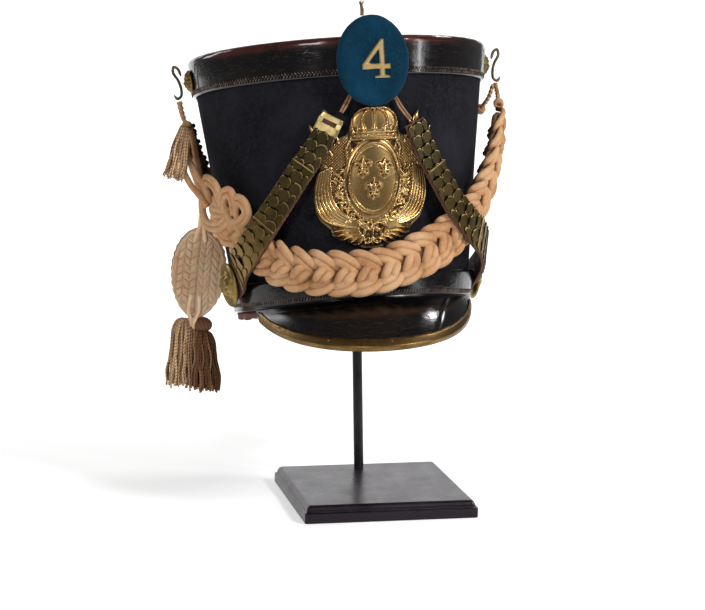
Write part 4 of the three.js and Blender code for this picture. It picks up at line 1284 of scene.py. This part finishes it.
def boss_beads(radius, turn):
    """A beaded ring in the groove and a soft rosette in the middle."""
    beads = np.clip(1 - ((radius - 12.6) / 1.0) ** 2, 0, 1) * np.clip(np.cos(turn * 34), 0, 1)
    rosette = np.clip(1 - ((radius - 6.4) / 2.6) ** 2, 0, 1) * 0.4 * np.cos(turn * 10)
    return beads * 0.8 + rosette


def mask_relief(radius, turn):
    """A small lion's mask: mane, brow, eyes, muzzle and jaw."""
    x, z = radius * np.cos(turn), radius * np.sin(turn)
    mane = np.clip((radius - 4.6) / 1.4, 0, 1) * np.clip((8.2 - radius) / 0.8, 0, 1) * 0.75
    face = 0
    for across, up, size, height in MASK_FEATURES:
        away = ((x - across) ** 2 + (z - up) ** 2) / (0.7 * size) ** 2
        face = face + height * np.exp(-away / 2)
    return mane * np.cos(turn * 13) + face


def bosses_and_hooks(brass, wire):
    for side, (angle, z) in CHIN_BOSSES.items():
        shape = Shape()
        turned_on_wall(shape, CHIN_BOSS, angle, z, 5.2, boss_beads)
        disc = shape.build("chin_boss_disc_" + side, brass, tag_name="shade")
        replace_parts(disc, "chin_boss_" + side)
    for side, (angle, z) in HOOKS.items():
        shape = Shape()
        turned_on_wall(shape, HOOK_BOSS, angle, z, 0.3, mask_relief, sides=96)
        mask = shape.build("lion_mask_" + side, brass, tag_name="shade")
        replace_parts(mask, "hook_boss_" + side)
        shape = Shape()
        line = smooth_line([wall(angle, z + rise, offset) for offset, rise in HOOK_ROUTE], 80)
        radii = np.interp(np.linspace(0, 1, 80), [0, 0.06, 0.94, 1], [0.5, 1.05, 1.05, 0.35])
        shape.tube(line, radii, sides=14)
        bent = shape.build("bent_wire_" + side, wire, tag_name="shade")
        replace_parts(bent, "hook_" + side)


# --- Cords ---

FRONT_PLAIT = [
    (-89, 87, 6.2, 22),
    (-86, 78, 5.2, 29),
    (-75, 68, 4.6, 31),
    (-66, 58, 4.6, 31),
    (-58, 50, 4.6, 31),
    (-51, 42, 5, 31),
    (-43, 33, 7, 31),
    (-30, 25, 7.2, 31),
    (-14, 22, 7.2, 31),
    (0, 23, 7.2, 31),
    (16, 31, 7, 31),
    (28, 40, 5.5, 31),
    (37, 48, 4.8, 31),
    (46, 57, 5, 31),
    (54, 68, 6.5, 31),
    (60, 82, 9, 31),
    (65, 100, 11.5, 30),
    (68, 116, 12.5, 29),
    (71, 129, 12.5, 25),
    (76, 140, 12.5, 17),
]
BACK_PLAIT = [
    (-100, 138, 8, 12),
    (-105, 124, 6.8, 22),
    (-113, 104, 6, 27),
    (-124, 86, 5, 27),
    (-139, 70, 4.8, 27),
    (-158, 60, 4.8, 27),
    (-179, 56, 4.8, 27),
    (-201, 60, 4.8, 27),
    (-220, 70, 4.8, 27),
    (-235, 86, 5, 27),
    (-246, 104, 6, 27),
    (-255, 125, 6.8, 22),
    (-261, 140, 8, 12),
]
# One repeat of the plait, seen from outside: distance along, height across and depth out of each stitch's line.
STITCHES = {
    "upper": [(-5, 5.5, -4.5), (-2.5, 10.6, -1), (3, 10.8, 2.8), (9.5, 7.4, 3.8), (14.5, 3.6, 2.4), (17.5, 1.0, -1.5)],
    "middle": [(4, -7.6, -1.0), (5.2, -4.9, 3.4), (7.2, -1.5, 4.8), (10, 1.6, 3.8), (12.8, 3.6, -0.5)],
    "lower": [(-5, -5.5, -4.5), (-3.5, -10.2, -1), (1.5, -11, 2.6), (7, -9.6, 3.8), (11.5, -6.8, 2.4), (14.5, -4.2, -1)],
}
STITCH_PITCH = 15.4
STITCH_RADIUS = {"upper": 2.75, "middle": 3.0, "lower": 2.75}
STITCH_SPACING = {"upper": 4.9, "middle": 5.4, "lower": 4.9}
STITCH_FLATNESS = 0.85
PLAIT_HALF_WIDTH = 15.5


def plait(name, rows, paint, first, last):
    """Doubled cords laid as three rows of stitches over a darker core, a painted shade that fills the gaps between
    them. Returns the piece and its line in metres.
    """
    route = Route(rows)
    shape = Shape()
    core_run = np.linspace(first - 6, min(last + 6, route.length), 90)
    half = route.at(route.width, core_run) / 2
    turn = np.linspace(0, TURN, 24, endpoint=False)
    core = route.place(
        core_run[:, None],
        np.cos(turn) * (half[:, None] - 3.2),
        np.sin(turn) * np.minimum(3.2, half[:, None] * 0.4) - 1.0,
    )
    # The core is tagged for painted shade where it shows between the stitches.
    shape.closed(core, core_run, np.arange(25) / 24, tag=0.7)
    sides = 12
    # Painted shade on each stitch's side towards the wall.
    under = np.clip(0.15 - 0.65 * np.sin(np.arange(sides) * TURN / sides), 0, 1)
    for start in np.arange(first, last, STITCH_PITCH):
        for kind, points in STITCHES.items():
            jitter = np.array([draw.uniform(-0.5, 0.5), draw.uniform(-0.4, 0.4), draw.uniform(-0.2, 0.3)])
            line = smooth_line(np.array(points) + jitter, 24)
            heading = unit(np.gradient(line[:, :2], axis=0))
            normal = np.stack([-heading[:, 1], heading[:, 0]], 1)
            swell = 0.86 + 0.18 * np.sin(np.linspace(0, math.pi, 24))
            # Painted shade where the stitch sinks between the others.
            sunk = np.clip((1.2 - line[:, 2]) / 3.5, 0, 1)
            for side in (-0.5, 0.5):
                shift = line.copy()
                shift[:, :2] += normal * side * STITCH_SPACING[kind]
                s = np.clip(start + shift[:, 0], 0, route.length)
                squeeze = route.at(route.width, s) / 2 / PLAIT_HALF_WIDTH
                centres = route.place(s, -shift[:, 1] * squeeze, shift[:, 2] + draw.uniform(-0.2, 0.2))
                radius = STITCH_RADIUS[kind] * draw.uniform(0.95, 1.04) * np.maximum(squeeze, 0.7) * swell
                tags = np.clip(under[None, :] + sunk[:, None], 0, 1)
                shape.tube(centres, radius, sides, STITCH_FLATNESS, up=route.at(route.out, s), tag=tags)
    piece = shape.build(name, paint, tag_name="shade")
    return piece, (in_world(route.place(core_run, 0, 0)) * MM).tolist()


def on_wall(rows):
    rows = np.asarray(rows, float)
    return wall(rows[:, 0], rows[:, 1], rows[:, 2])


def round_cord(name, knots, radius, paint, count=60):
    """A knitted cord through a list of places on the hat. Returns the piece and its line in metres."""
    line = smooth_line(knots, count)
    shape = Shape()
    shape.tube(line, radius, sides=12)
    piece = shape.build(name, paint, tag_name="shade")
    return piece, (in_world(line) * MM).tolist()


def doubled_cord(shape, rows, radius, spacing, count=34, tag=0.0):
    """Two cords side by side through places on the wall."""
    rows = np.asarray(rows, float)
    line = smooth_line(on_wall(rows), count)
    out = wall_out(np.interp(np.linspace(0, 1, count), np.linspace(0, 1, len(rows)), rows[:, 0]))
    beside = unit(np.cross(unit(np.gradient(line, axis=0)), out))
    for side in (-0.5, 0.5):
        shape.tube(line + beside * side * spacing, radius, sides=10, tag=tag)


SIDE_CORD_KNOTS = {
    "side_cord_outer": [
        (-84, 139, 10.3), (-84, 135, 15.6), (-84, 126, 20.1), (-84, 115, 21.9), (-84, 104, 20.7), (-84, 94, 17.4),
        (-84, 86, 12.6), (-81, 78, 10),
    ],
    "side_cord_middle": [
        (-86, 138, 10.6), (-86, 134, 15), (-86, 124, 17.4), (-86, 114, 15), (-85, 102, 11.3), (-84, 93, 8.5),
        (-82, 84, 7.4),
    ],
    "side_cord_inner": [
        (-89, 137, 10.4), (-90, 128, 12.6), (-90, 116, 13.2), (-89, 106, 12), (-88, 94, 10.3), (-86, 84, 8.6),
    ],
    "side_cord_back": [
        (-93, 138, 9.8), (-94, 134, 7.1), (-94, 126, 6.1), (-94, 115, 6.4), (-93, 105, 6.6), (-91, 92, 6.8),
    ],
}
SIDE_CORD_RADIUS = 2.3
KNOT_LOOPS = [
    [(-80.5, 80, 7), (-81.4, 91.5, 8), (-76.7, 96.1, 9.5), (-70.4, 90.5, 9.5), (-69.4, 82.3, 8.5), (-70, 74, 6)],
    [(-86, 84.5, 9.8), (-87, 74.5, 11.2), (-85, 66.4, 11), (-78, 62.6, 10.4), (-69.6, 62.9, 10), (-65.3, 67, 9)],
    [(-65, 70.5, 7), (-71.4, 71.6, 9.5), (-76, 74.5, 9.5), (-72, 78, 8)],
    [(-71.3, 71, 7), (-68.3, 77.2, 8.6), (-65.2, 83.8, 9.4), (-61.1, 84.6, 9.4), (-60.3, 77, 9), (-62.1, 68.4, 7)],
    [(-60.8, 74, 7.5), (-57.8, 79.1, 9), (-54.4, 76.3, 9.6), (-53.4, 69.3, 9.4), (-56.8, 63.6, 9), (-63.7, 62, 8)],
    [(-77, 60.4, 7.5), (-72.6, 55, 9), (-66.7, 50.9, 9), (-61, 52, 7.6)],
]
KNOT_SPACING = 4.4
STRING_KNOTS = {
    "hook_string_left": [(-89, 155.6, 11.6), (-89, 146, 11.4), (-88, 135, 10.4)],
    "hook_string_right": [(86.5, 157.6, 11.6), (83, 149, 12.4), (77, 141, 12.6)],
    "hook_string_back_left": [(-92.5, 155.6, 11.6), (-95, 147, 10.6), (-99.5, 139, 8.4)],
    "hook_string_back_right": [(90, 157.6, 11.6), (93, 149, 10.6), (98.5, 141, 8.4)],
}
STRING_RADIUS = 1.5


def hook_strings(paint):
    """Short twisted strings, each with a knot where it meets the plait."""
    made = {}
    for name, knots in STRING_KNOTS.items():
        shape = Shape()
        line = smooth_line(on_wall(knots), 60)
        shape.tube(line, STRING_RADIUS, sides=12, lobes=2, depth=0.25, twist=TURN / 7)
        end = line[-1]
        heading = unit(line[-1] - line[-4])
        side = unit(np.cross(heading, (0, 0, 1)))
        for lift in (-1.2, 1.2):
            turn = np.linspace(0, TURN, 24)
            loop = end + heading * lift + np.outer(np.cos(turn), side) * 2.6
            loop = loop + np.outer(np.sin(turn), np.cross(heading, side)) * 2.6
            shape.tube(loop, 1.3, sides=8)
        piece = shape.build(name, paint, tag_name="shade")
        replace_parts(piece, name)
        made[name] = piece
    return made


def herringbone(x, y, column=5.1, pitch=5.6, slope=0.95):
    """The height, 0 to 1, of doubled strands plaited in columns that lean by turns to either side."""
    index = np.floor(x / column)
    inside = x / column - index - 0.5
    lean = np.where(index % 2 == 0, 1.0, -1.0)
    strand = ((y + lean * inside * column * slope) / pitch) % 1
    crest = np.sqrt(np.clip(1 - (2 * strand - 1) ** 2, 0, 1))
    cords = np.sqrt(np.clip(1 - (2 * ((2 * strand) % 1) - 1) ** 2, 0, 1))
    tuck = 1 - np.abs(2 * inside) ** 4 * 0.8
    return (0.7 * crest + 0.3 * cords) * tuck


RAQUETTE_TOP = np.array([-119.6, 52.3, 195.6])
RAQUETTE_FOOT = np.array([-125.8, 52.3, 128.6])
RAQUETTE_HALF = (20.6, 4.2)
RAQUETTE_TURN = math.radians(-20)


def hanging_axes():
    up = unit(RAQUETTE_TOP - RAQUETTE_FOOT)
    across = np.array([math.cos(RAQUETTE_TURN), math.sin(RAQUETTE_TURN), 0.0])
    across = unit(across - up * np.dot(across, up))
    return across, np.cross(up, across), up


def raquette(paint):
    """The flat oval of plaited cord: two plaited halves, a seam down the middle and cords round the rim."""
    across, back, up = hanging_axes()
    centre = (RAQUETTE_TOP + RAQUETTE_FOOT) / 2
    half_height = np.linalg.norm(RAQUETTE_TOP - RAQUETTE_FOOT) / 2
    rows, columns = 220, 236
    y = -np.cos(np.linspace(0.02, math.pi - 0.02, rows))
    turn = np.linspace(0, TURN, columns, endpoint=False)
    taper = 1 + 0.05 * y - 0.05 * (y < 0) * y**2
    width = (RAQUETTE_HALF[0] * np.sqrt(1 - y**2) * taper)[:, None]
    x = width * np.cos(turn)
    height = (y * half_height)[:, None] + 0 * x
    weave = herringbone(x, height + 1.3 * np.sin(x * 0.4)) * (1 - 0.7 * np.exp(-((x / 0.8) ** 2)))
    edge = np.sqrt(np.clip((x / RAQUETTE_HALF[0]) ** 2 + y[:, None] ** 2, 0, 1))
    hoop = np.sqrt(np.clip(1 - (2 * (((1 - edge) * RAQUETTE_HALF[0] / 2.6) % 1) - 1) ** 2, 0, 1))
    on_rim = np.clip((edge - 0.86) / 0.03, 0, 1)
    relief = weave * (1 - on_rim) + hoop * on_rim
    thick = RAQUETTE_HALF[1] * np.sqrt(np.clip(1 - edge**4, 0.02, 1))
    facing = np.sign(np.sin(turn)) * np.abs(np.sin(turn)) ** 0.3
    depth = thick * np.sin(turn) + facing * (relief - 0.6) * 2.5
    wavy = 1 + 0.018 * np.sin(height * TURN / 5.6) * np.abs(np.cos(turn)) ** 4
    points = centre + (x * wavy)[..., None] * across + height[..., None] * up + depth[..., None] * back
    shape = Shape()
    # Painted shade in the hollows of the weave.
    shade = np.clip(0.62 - relief * 1.7, 0, 1)
    shape.closed(points, height[:, 0], np.arange(columns + 1) / 3.0, tag=shade)
    for lift, side in ((0, -2.5), (0, 2.5)):
        foot = RAQUETTE_FOOT - up * 2 + across * side * 0.5
        knots = [foot - up * 5, foot, foot + up * 8 + across * side, foot + up * 20 + across * side * 0.7]
        shape.tube(smooth_line(np.array(knots) - back * (3.8 + lift), 30), 1.6, sides=8)
        head = RAQUETTE_TOP + across * side * 0.6
        knots = [head + up * 9, head + up * 2, head - up * 10 + across * side]
        shape.tube(smooth_line(np.array(knots) - back * 3.4, 24), 1.7, sides=8)
    piece = shape.build("raquette_weave", paint, world=True, tag_name="shade")
    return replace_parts(piece, "raquette")


def strings(shape, top, axes, count, reach, drop, spread, radius, lobes, wander=1.0):
    """Threads that spill over a knot at top and hang down. axes are across, back and up.

    Each lobe is how far across it lies, how far down it starts, and its tone.
    """
    across, back, up = axes
    for _ in range(count):
        lobe, lower, tone = draw.choice(lobes)
        start = top - up * lower
        fall = drop - lower
        turn = draw.uniform(0, TURN)
        fill = math.sqrt(draw.uniform(0.04, 1))
        out = across * math.cos(turn) + back * math.sin(turn) * reach[1] / reach[0]
        end_drop = fall * draw.uniform(0.88, 1.0) * (1 - 0.05 * (1 - fill))
        shoulder = reach[0] * fill
        end = across * lobe * 1.25 + out * (shoulder * spread)
        bend = across * draw.uniform(-wander, wander) + back * draw.uniform(-wander, wander)
        knots = [
            start + across * lobe * 0.5 - up * (4.5 - 2 * fill),
            start + across * lobe + out * shoulder * 0.55 - up * (3.4 - 2.6 * fill),
            start + across * lobe + out * shoulder - up * (7 + 3 * (1 - fill)),
            start + across * lobe * 1.1 + out * shoulder * (1 + 0.35 * (spread - 1)) - up * fall * 0.42 + bend,
            start + end * 0.96 - up * fall * 0.74 - bend * 0.7,
            start + end + across * draw.uniform(-1, 1) * wander - up * end_drop,
        ]
        shade = np.clip(tone + draw.uniform(-0.3, 0.3), 0, 1)
        shape.tube(smooth_line(knots, 24), radius * draw.uniform(0.85, 1.1), sides=6, tag=shade)


TASSEL_TOP = np.array([-126, 52.3, 128.1])
SMALL_TASSEL_TOP = in_world(wall(-82, 137, 14.6))
SMALL_TASSEL_SWING = math.radians(15)


def tassels(paint):
    across, back, up = hanging_axes()
    shape = Shape()
    plumb = (across, back, np.array([0.0, 0.0, 1.0]))
    strings(shape, TASSEL_TOP, plumb, 270, (9.8, 9.0), 53.0, 1.35, 0.8, ((-5.8, 0.5, 0.75), (6.4, 7.5, 0.3)), wander=1.5)
    head = TASSEL_TOP + np.array([5.6, 0, -4.6])
    for start in np.linspace(0, math.pi, 22, endpoint=False):
        turn = np.linspace(0, TURN, 22)
        ring = np.stack([np.cos(turn) * 7.4, np.cos(start) * np.sin(turn) * 7, np.sin(start) * np.sin(turn) * 5.2], 1)
        shape.tube(head + ring, 0.8, sides=6, tag=0.25)
    big = shape.build("tassel_strings", paint, world=True, tag_name="shade")
    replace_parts(big, "tassel")
    swing = Matrix.Rotation(SMALL_TASSEL_SWING, 3, "Y")
    leaning = tuple(in_world(np.array(swing @ Vector(v))) - HAT_POSITION for v in ((1, 0, 0), (0, 1, 0), (0, 0, 1)))
    shape = Shape()
    strings(shape, SMALL_TASSEL_TOP, leaning, 90, (4.2, 4.2), 41.0, 1.8, 0.6, ((0.0, 0.0, 0.7),), wander=1.4)
    small = shape.build("small_tassel_strings", paint, world=True, tag_name="shade")
    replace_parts(small, "small_tassel")
    return big, small


def tassel_paint():
    """Two-ply thread; the tag picks each thread's tone."""
    paint = Paint("tassel_thread", roughness=0.95, Specular_IOR_Level=0.15)
    along, around, _ = paint.split(paint.uv)
    ply = paint.math("SINE", paint.math("MULTIPLY", paint.math("MULTIPLY_ADD", around, 2.4, along), TURN / 2.4))
    height = paint.math("MULTIPLY_ADD", ply, 0.5, 0.5)
    tone = paint.ramp(paint.tag("shade"), (0.0, "3f291b"), (0.4, "8a6244"), (1.0, "f8d2a6"))
    patches = paint.noise(30, 3)
    worn = paint.mix(paint.ramp(patches, (0.35, 0.0), (0.7, 0.35)), tone, "6e4d34")
    # Painted shade in the grooves between the plies.
    paint.set("Base Color", paint.mix(paint.ramp(height, (0.0, 0.6), (0.55, 0.0)), worn, "4d3322"))
    return paint.bump((height, 0.8, 0.4))


def all_cords():
    pale = cord_paint("knitted_cord", "e8bf95", "d6a577", "a8764f", "452a1a")
    # A paler copy of the knitted cord's paint: painted light on the raquette.
    lit_oval_cord = cord_paint("raquette_cord_painted_light", "ffe9c9", "ffdab2", "f3c397", "5e3b23")
    thread = tassel_paint()
    front, front_line = plait("front_plait_stitches", FRONT_PLAIT, pale, 26, 352)
    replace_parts(front, "front_plait")
    back, back_line = plait("back_plait_stitches", BACK_PLAIT, pale, 8, 330)
    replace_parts(back, "back_plait")
    knot = Shape()
    for loop in KNOT_LOOPS:
        doubled_cord(knot, loop, 2.35, KNOT_SPACING)
    knot_piece = knot.build("side_knot", pale, tag_name="shade")
    hook_pieces = hook_strings(pale)
    oval = raquette(lit_oval_cord)
    big, small = tassels(thread)
    for name, knots in SIDE_CORD_KNOTS.items():
        piece, line = round_cord(name, on_wall(knots), SIDE_CORD_RADIUS, pale)
        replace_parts(piece, "side_cords")


# --- The stand ---

PLATE_HALF = (62.75, 64.0)
PLATE_EDGE = [(1.2, 0), (0.3, 0.2), (0, 0.8), (0, 6.8), (0.25, 7.4), (1.3, 7.7), (1.6, 8.2), (1.8, 9.6), (2.6, 11.2)]
PLATE_EDGE += [(3.6, 12.2), (4.6, 12.5)]
PLATE_CORNER = 1.6
POST_FOOT = np.array([0, 53.3, 12.8])
POST_TOP_X = -8.8
POST_RADIUS = 3.6
CAP_RADIUS = 24
CAP_THICKNESS = 5
UNDER_CROWN = 176.2
GAP = 0.3


def stand_plate(paint):
    shape = Shape()
    rings = []
    for inset, z in PLATE_EDGE:
        ring = []
        for corner, (sx, sy) in enumerate(((-1, -1), (1, -1), (1, 1), (-1, 1))):
            centre = np.array([sx * (PLATE_HALF[0] - inset - PLATE_CORNER), sy * (PLATE_HALF[1] - inset - PLATE_CORNER)])
            for step in range(6):
                turn = math.pi + corner * math.pi / 2 + step / 5 * math.pi / 2
                ring.append([*(centre + PLATE_CORNER * np.array([math.cos(turn), math.sin(turn)])), z])
        rings.append(ring)
    rings = np.array(rings)
    shape.closed(rings, rings[:, 0, 2], np.arange(25) * 10)
    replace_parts(shape.build("moulded_plate", paint, smooth=False, world=True), "stand_plate")


def stand_post(paint):
    axis = HAT_TURN @ np.array([0, 0, 1.0])
    under = HAT_POSITION + axis * UNDER_CROWN
    level = axis[0] * (under[0] - POST_TOP_X) + axis[1] * (under[1] - POST_FOOT[1]) + axis[2] * under[2]
    top = np.array([POST_TOP_X, POST_FOOT[1], level / axis[2]]) - axis * GAP
    shape = Shape()
    shape.tube(np.linspace(POST_FOOT, top - axis * CAP_THICKNESS / 2, 12), POST_RADIUS, sides=32)
    steps = [(0, 0.94), (0.04, 1), (0.5, 1), (0.96, 1), (1, 0.94)]
    centres = np.array([top - axis * CAP_THICKNESS * (1 - share) for share, _ in steps])
    shape.tube(centres, [CAP_RADIUS * reach for _, reach in steps], sides=64)
    piece = shape.build("turned_post", paint, smooth=False, world=True)
    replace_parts(piece, "stand_post")


def lacquer_paint():
    """Dark satin lacquer with brush marks and dust."""
    paint = Paint("plate_lacquer", roughness=0.3, Specular_IOR_Level=0.4)
    paint.set("Specular Tint", "ddcbe3")
    marks = paint.noise(1.0, 3, 0.6, paint.scaled(paint.object, 12, 90, 300))
    dust = paint.noise(60, 5, 0.7)
    paint.set("Base Color", paint.ramp(paint.math("MULTIPLY_ADD", dust, 0.6, paint.math("MULTIPLY", marks, 0.4)),
                                       (0.35, "0b0709"), (0.75, "1b1117")))
    paint.set("Roughness", paint.ramp(dust, (0.3, 0.24), (0.7, 0.36)))
    return paint.bump((marks, 0.12, 0.3), (dust, 0.08, 0.2))


def post_paint():
    paint = Paint("post_metal", roughness=0.45, metallic=0.6)
    dust = paint.noise(90, 4)
    paint.set("Base Color", paint.ramp(dust, (0.3, "121112"), (0.7, "2a2829")))
    return paint.bump((dust, 0.1, 0.2))


def wire_paint():
    paint = Paint("hook_wire", roughness=0.4, metallic=0.9)
    rust = paint.noise(220, 4, 0.7)
    paint.set("Base Color", paint.ramp(rust, (0.35, "3d382f"), (0.6, "6e6450"), (0.75, "5b3a22")))
    paint.set("Roughness", paint.ramp(rust, (0.3, 0.3), (0.7, 0.6)))
    return paint.bump((rust, 0.3, 0.15))


THONG_ROWS = {
    "thong_left": [(-7, 145, 1.2), (-9, 139, 3), (-11, 133, 7.6)],
    "thong_right": [(10, 143, 1.2), (12, 135, 3), (15, 126, 6)],
}


def thongs(paint):
    """Two narrow leather strands at the tip of each strap."""
    for name, rows in THONG_ROWS.items():
        shape = Shape()
        line = smooth_line(on_wall(rows), 40)
        out = wall_out(rows[1][0])
        beside = unit(np.cross(unit(np.gradient(line, axis=0)), out))
        for side in (-0.8, 0.8):
            bow = np.sin(np.linspace(0, math.pi, 40))[:, None] * side * 0.25
            shape.tube(line + beside * (side + bow), 0.75, sides=8, flat=0.75, up=out)
        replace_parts(shape.build(name + "_strands", paint), name)


# --- The camera, the lights and the floor ---


# In metres, then degrees of tilt, roll and heading.
CAMERA_PLACE = (-0.3446, -1.5633, 0.4054)
CAMERA_TURN = (80.7288, -0.8389, -11.6728)


def camera():
    data = bpy.data.cameras.new("camera")
    data.sensor_width = 36
    data.sensor_fit = "HORIZONTAL"
    data.lens = 114.46
    data.clip_end = 20
    made = bpy.data.objects.new("camera", data)
    made.location = CAMERA_PLACE
    made.rotation_euler = [math.radians(angle) for angle in CAMERA_TURN]
    bpy.context.scene.collection.objects.link(made)
    bpy.context.scene.camera = made


def area_light(name, place, aim, size, power):
    data = bpy.data.lights.new(name, "AREA")
    data.shape = "RECTANGLE"
    data.size, data.size_y = size
    data.energy = power
    made = bpy.data.objects.new(name, data)
    made.location = place
    made.rotation_euler = (Vector(aim) - Vector(place)).to_track_quat("-Z", "Y").to_euler()
    bpy.context.scene.collection.objects.link(made)


def backdrop():
    """A sheet of white paper that curves up behind the stand. It glows, more strongly towards the back: painted light
    that keeps the far paper white.
    """
    arc = [(1.6 + 0.9 * math.sin(a), 0.9 - 0.9 * math.cos(a)) for a in np.linspace(0, math.pi / 2, 24)]
    outline = [(-0.75, 0.0)] + arc + [(2.5, 3.6)]
    columns = np.linspace(-1.2, 1.7, 9)
    points = np.array([[(x, y, z) for x in columns] for y, z in outline]) / MM
    shape = Shape()
    shape.grid(points, flip=True)
    paint = Paint("paper", roughness=0.9)
    tone = paint.ramp(paint.noise(4), (0.3, 0.80), (0.7, 0.82))
    paint.set("Base Color", tone)
    # Painted light: the paper glows, more strongly towards the back.
    paint.set("Emission Color", tone)
    paint.set("Emission Strength", paint.ramp(paint.split(paint.object)[1], (0.1, 0.5), (0.9, 1.0)))
    mesh = bpy.data.meshes.new("backdrop")
    mesh.from_pydata((np.concatenate(shape.points) * MM).tolist(), [], shape.faces)
    mesh.polygons.foreach_set("use_smooth", np.full(len(mesh.polygons), True))
    mesh.materials.append(paint.material)
    made = bpy.data.objects.new("backdrop", mesh)
    bpy.context.scene.collection.objects.link(made)


def studio():
    scene = bpy.context.scene
    scene.view_settings.view_transform = "Standard"
    world = bpy.data.worlds.new("studio")
    world.use_nodes = True
    world.node_tree.nodes["Background"].inputs["Color"].default_value = (1, 1, 1, 1)
    world.node_tree.nodes["Background"].inputs["Strength"].default_value = 0.14
    scene.world = world
    aim = (0, 0.02, 0.2)
    area_light("key_left", (-0.9, -1.4, 1.0), aim, (0.5, 0.5), 11)
    area_light("key_right", (1.0, -1.2, 1.25), aim, (0.3, 0.35), 22)
    area_light("strip_right", (1.25, -0.85, 0.42), aim, (0.04, 0.9), 4)
    area_light("rear_right", (0.84, 0.55, 1.23), (0.03, -0.08, 0.15), (0.3, 0.06), 5)
    area_light("rear_left", (-1.2, 0.9, 0.7), aim, (0.3, 0.8), 4)
    backdrop()


BRASS_STOPS = ((0.05, 0.0), (0.5, 1.0))


def hat():
    band = varnished_paint("band_leather", "08070a", "24140f", (0.56, 0.72), 0.3, (0.08, 0.26), 0.35, worn=True)
    foot = varnished_paint("foot_leather", "080709", "1d1412", (0.58, 0.75), 0.5, (0.12, 0.36), 0.0)
    varnish = varnished_paint("peak_varnish", "040405", "180f0b", (0.54, 0.74), 0.12, (0.1, 0.3), 0.05)
    crown_leather = varnished_paint("crown_varnish", "0d0c0e", "2a211e", (0.5, 0.7), 0.4, (0.45, 0.7), 0.0)
    thread = thread_paint("waxed_thread", "1f1713", "7d6654")
    strap = brown_leather_paint("strap_leather", "2a120d", "70402c")
    thong = brown_leather_paint("thong_leather", "6b4630", "a87c55")
    plate_brass = brass_paint("plate_brass", "e0be82", "a07c4a", "33220f", 0.46, (0.16, 0.33), "depth", BRASS_STOPS)
    trim_brass = brass_paint("trim_brass", "93784a", "664d2b", "20160c", 0.42, (0.28, 0.46), "shade", ((0.0, 0.6), (1.0, 1.0)))
    boss_brass = brass_paint("boss_brass", "c2a664", "6f5c34", "1c140c", 0.42, (0.26, 0.48), "shade", ((0.1, 0.0), (0.5, 1.0)))
    pale_brass = brass_paint("pale_brass", "d4c08a", "8f7c4c", "1c140c", 0.5, (0.26, 0.45))
    felt_body()
    leather_crown(crown_leather)
    top_band(band, thread)
    lower_band(foot, thread)
    sweatband()
    peak(varnish)
    peak_trim(trim_brass)
    front_plate(plate_brass)
    pompom()
    numeral(brass_paint("numeral_brass", "f2dca8", "bf9f66", "1c140c", 0.5, (0.3, 0.46)))
    pompom_tip()
    left, right = Route(LEFT_STRAP), Route(RIGHT_STRAP)
    strap_leather("strap_leather_left", "strap_left", left, strap)
    strap_leather("strap_leather_right", "strap_right", right, strap)
    scales = scale_paint("scale_brass")
    left_nodes = ["scales_left_%d" % i for i in range(1, 6)]
    right_nodes = ["scales_right_%d" % i for i in range(1, 7)]
    strap_scales("scales_left", left_nodes, left, 12, left.length - 17.2, scales)
    strap_scales("scales_right", right_nodes, right, 0.5, right.length - 17.2, scales)
    strap_end(left, pale_brass)
    bosses_and_hooks(boss_brass, wire_paint())
    thongs(thong)


hat()
all_cords()
stand_plate(lacquer_paint())
stand_post(post_paint())
camera()
studio()
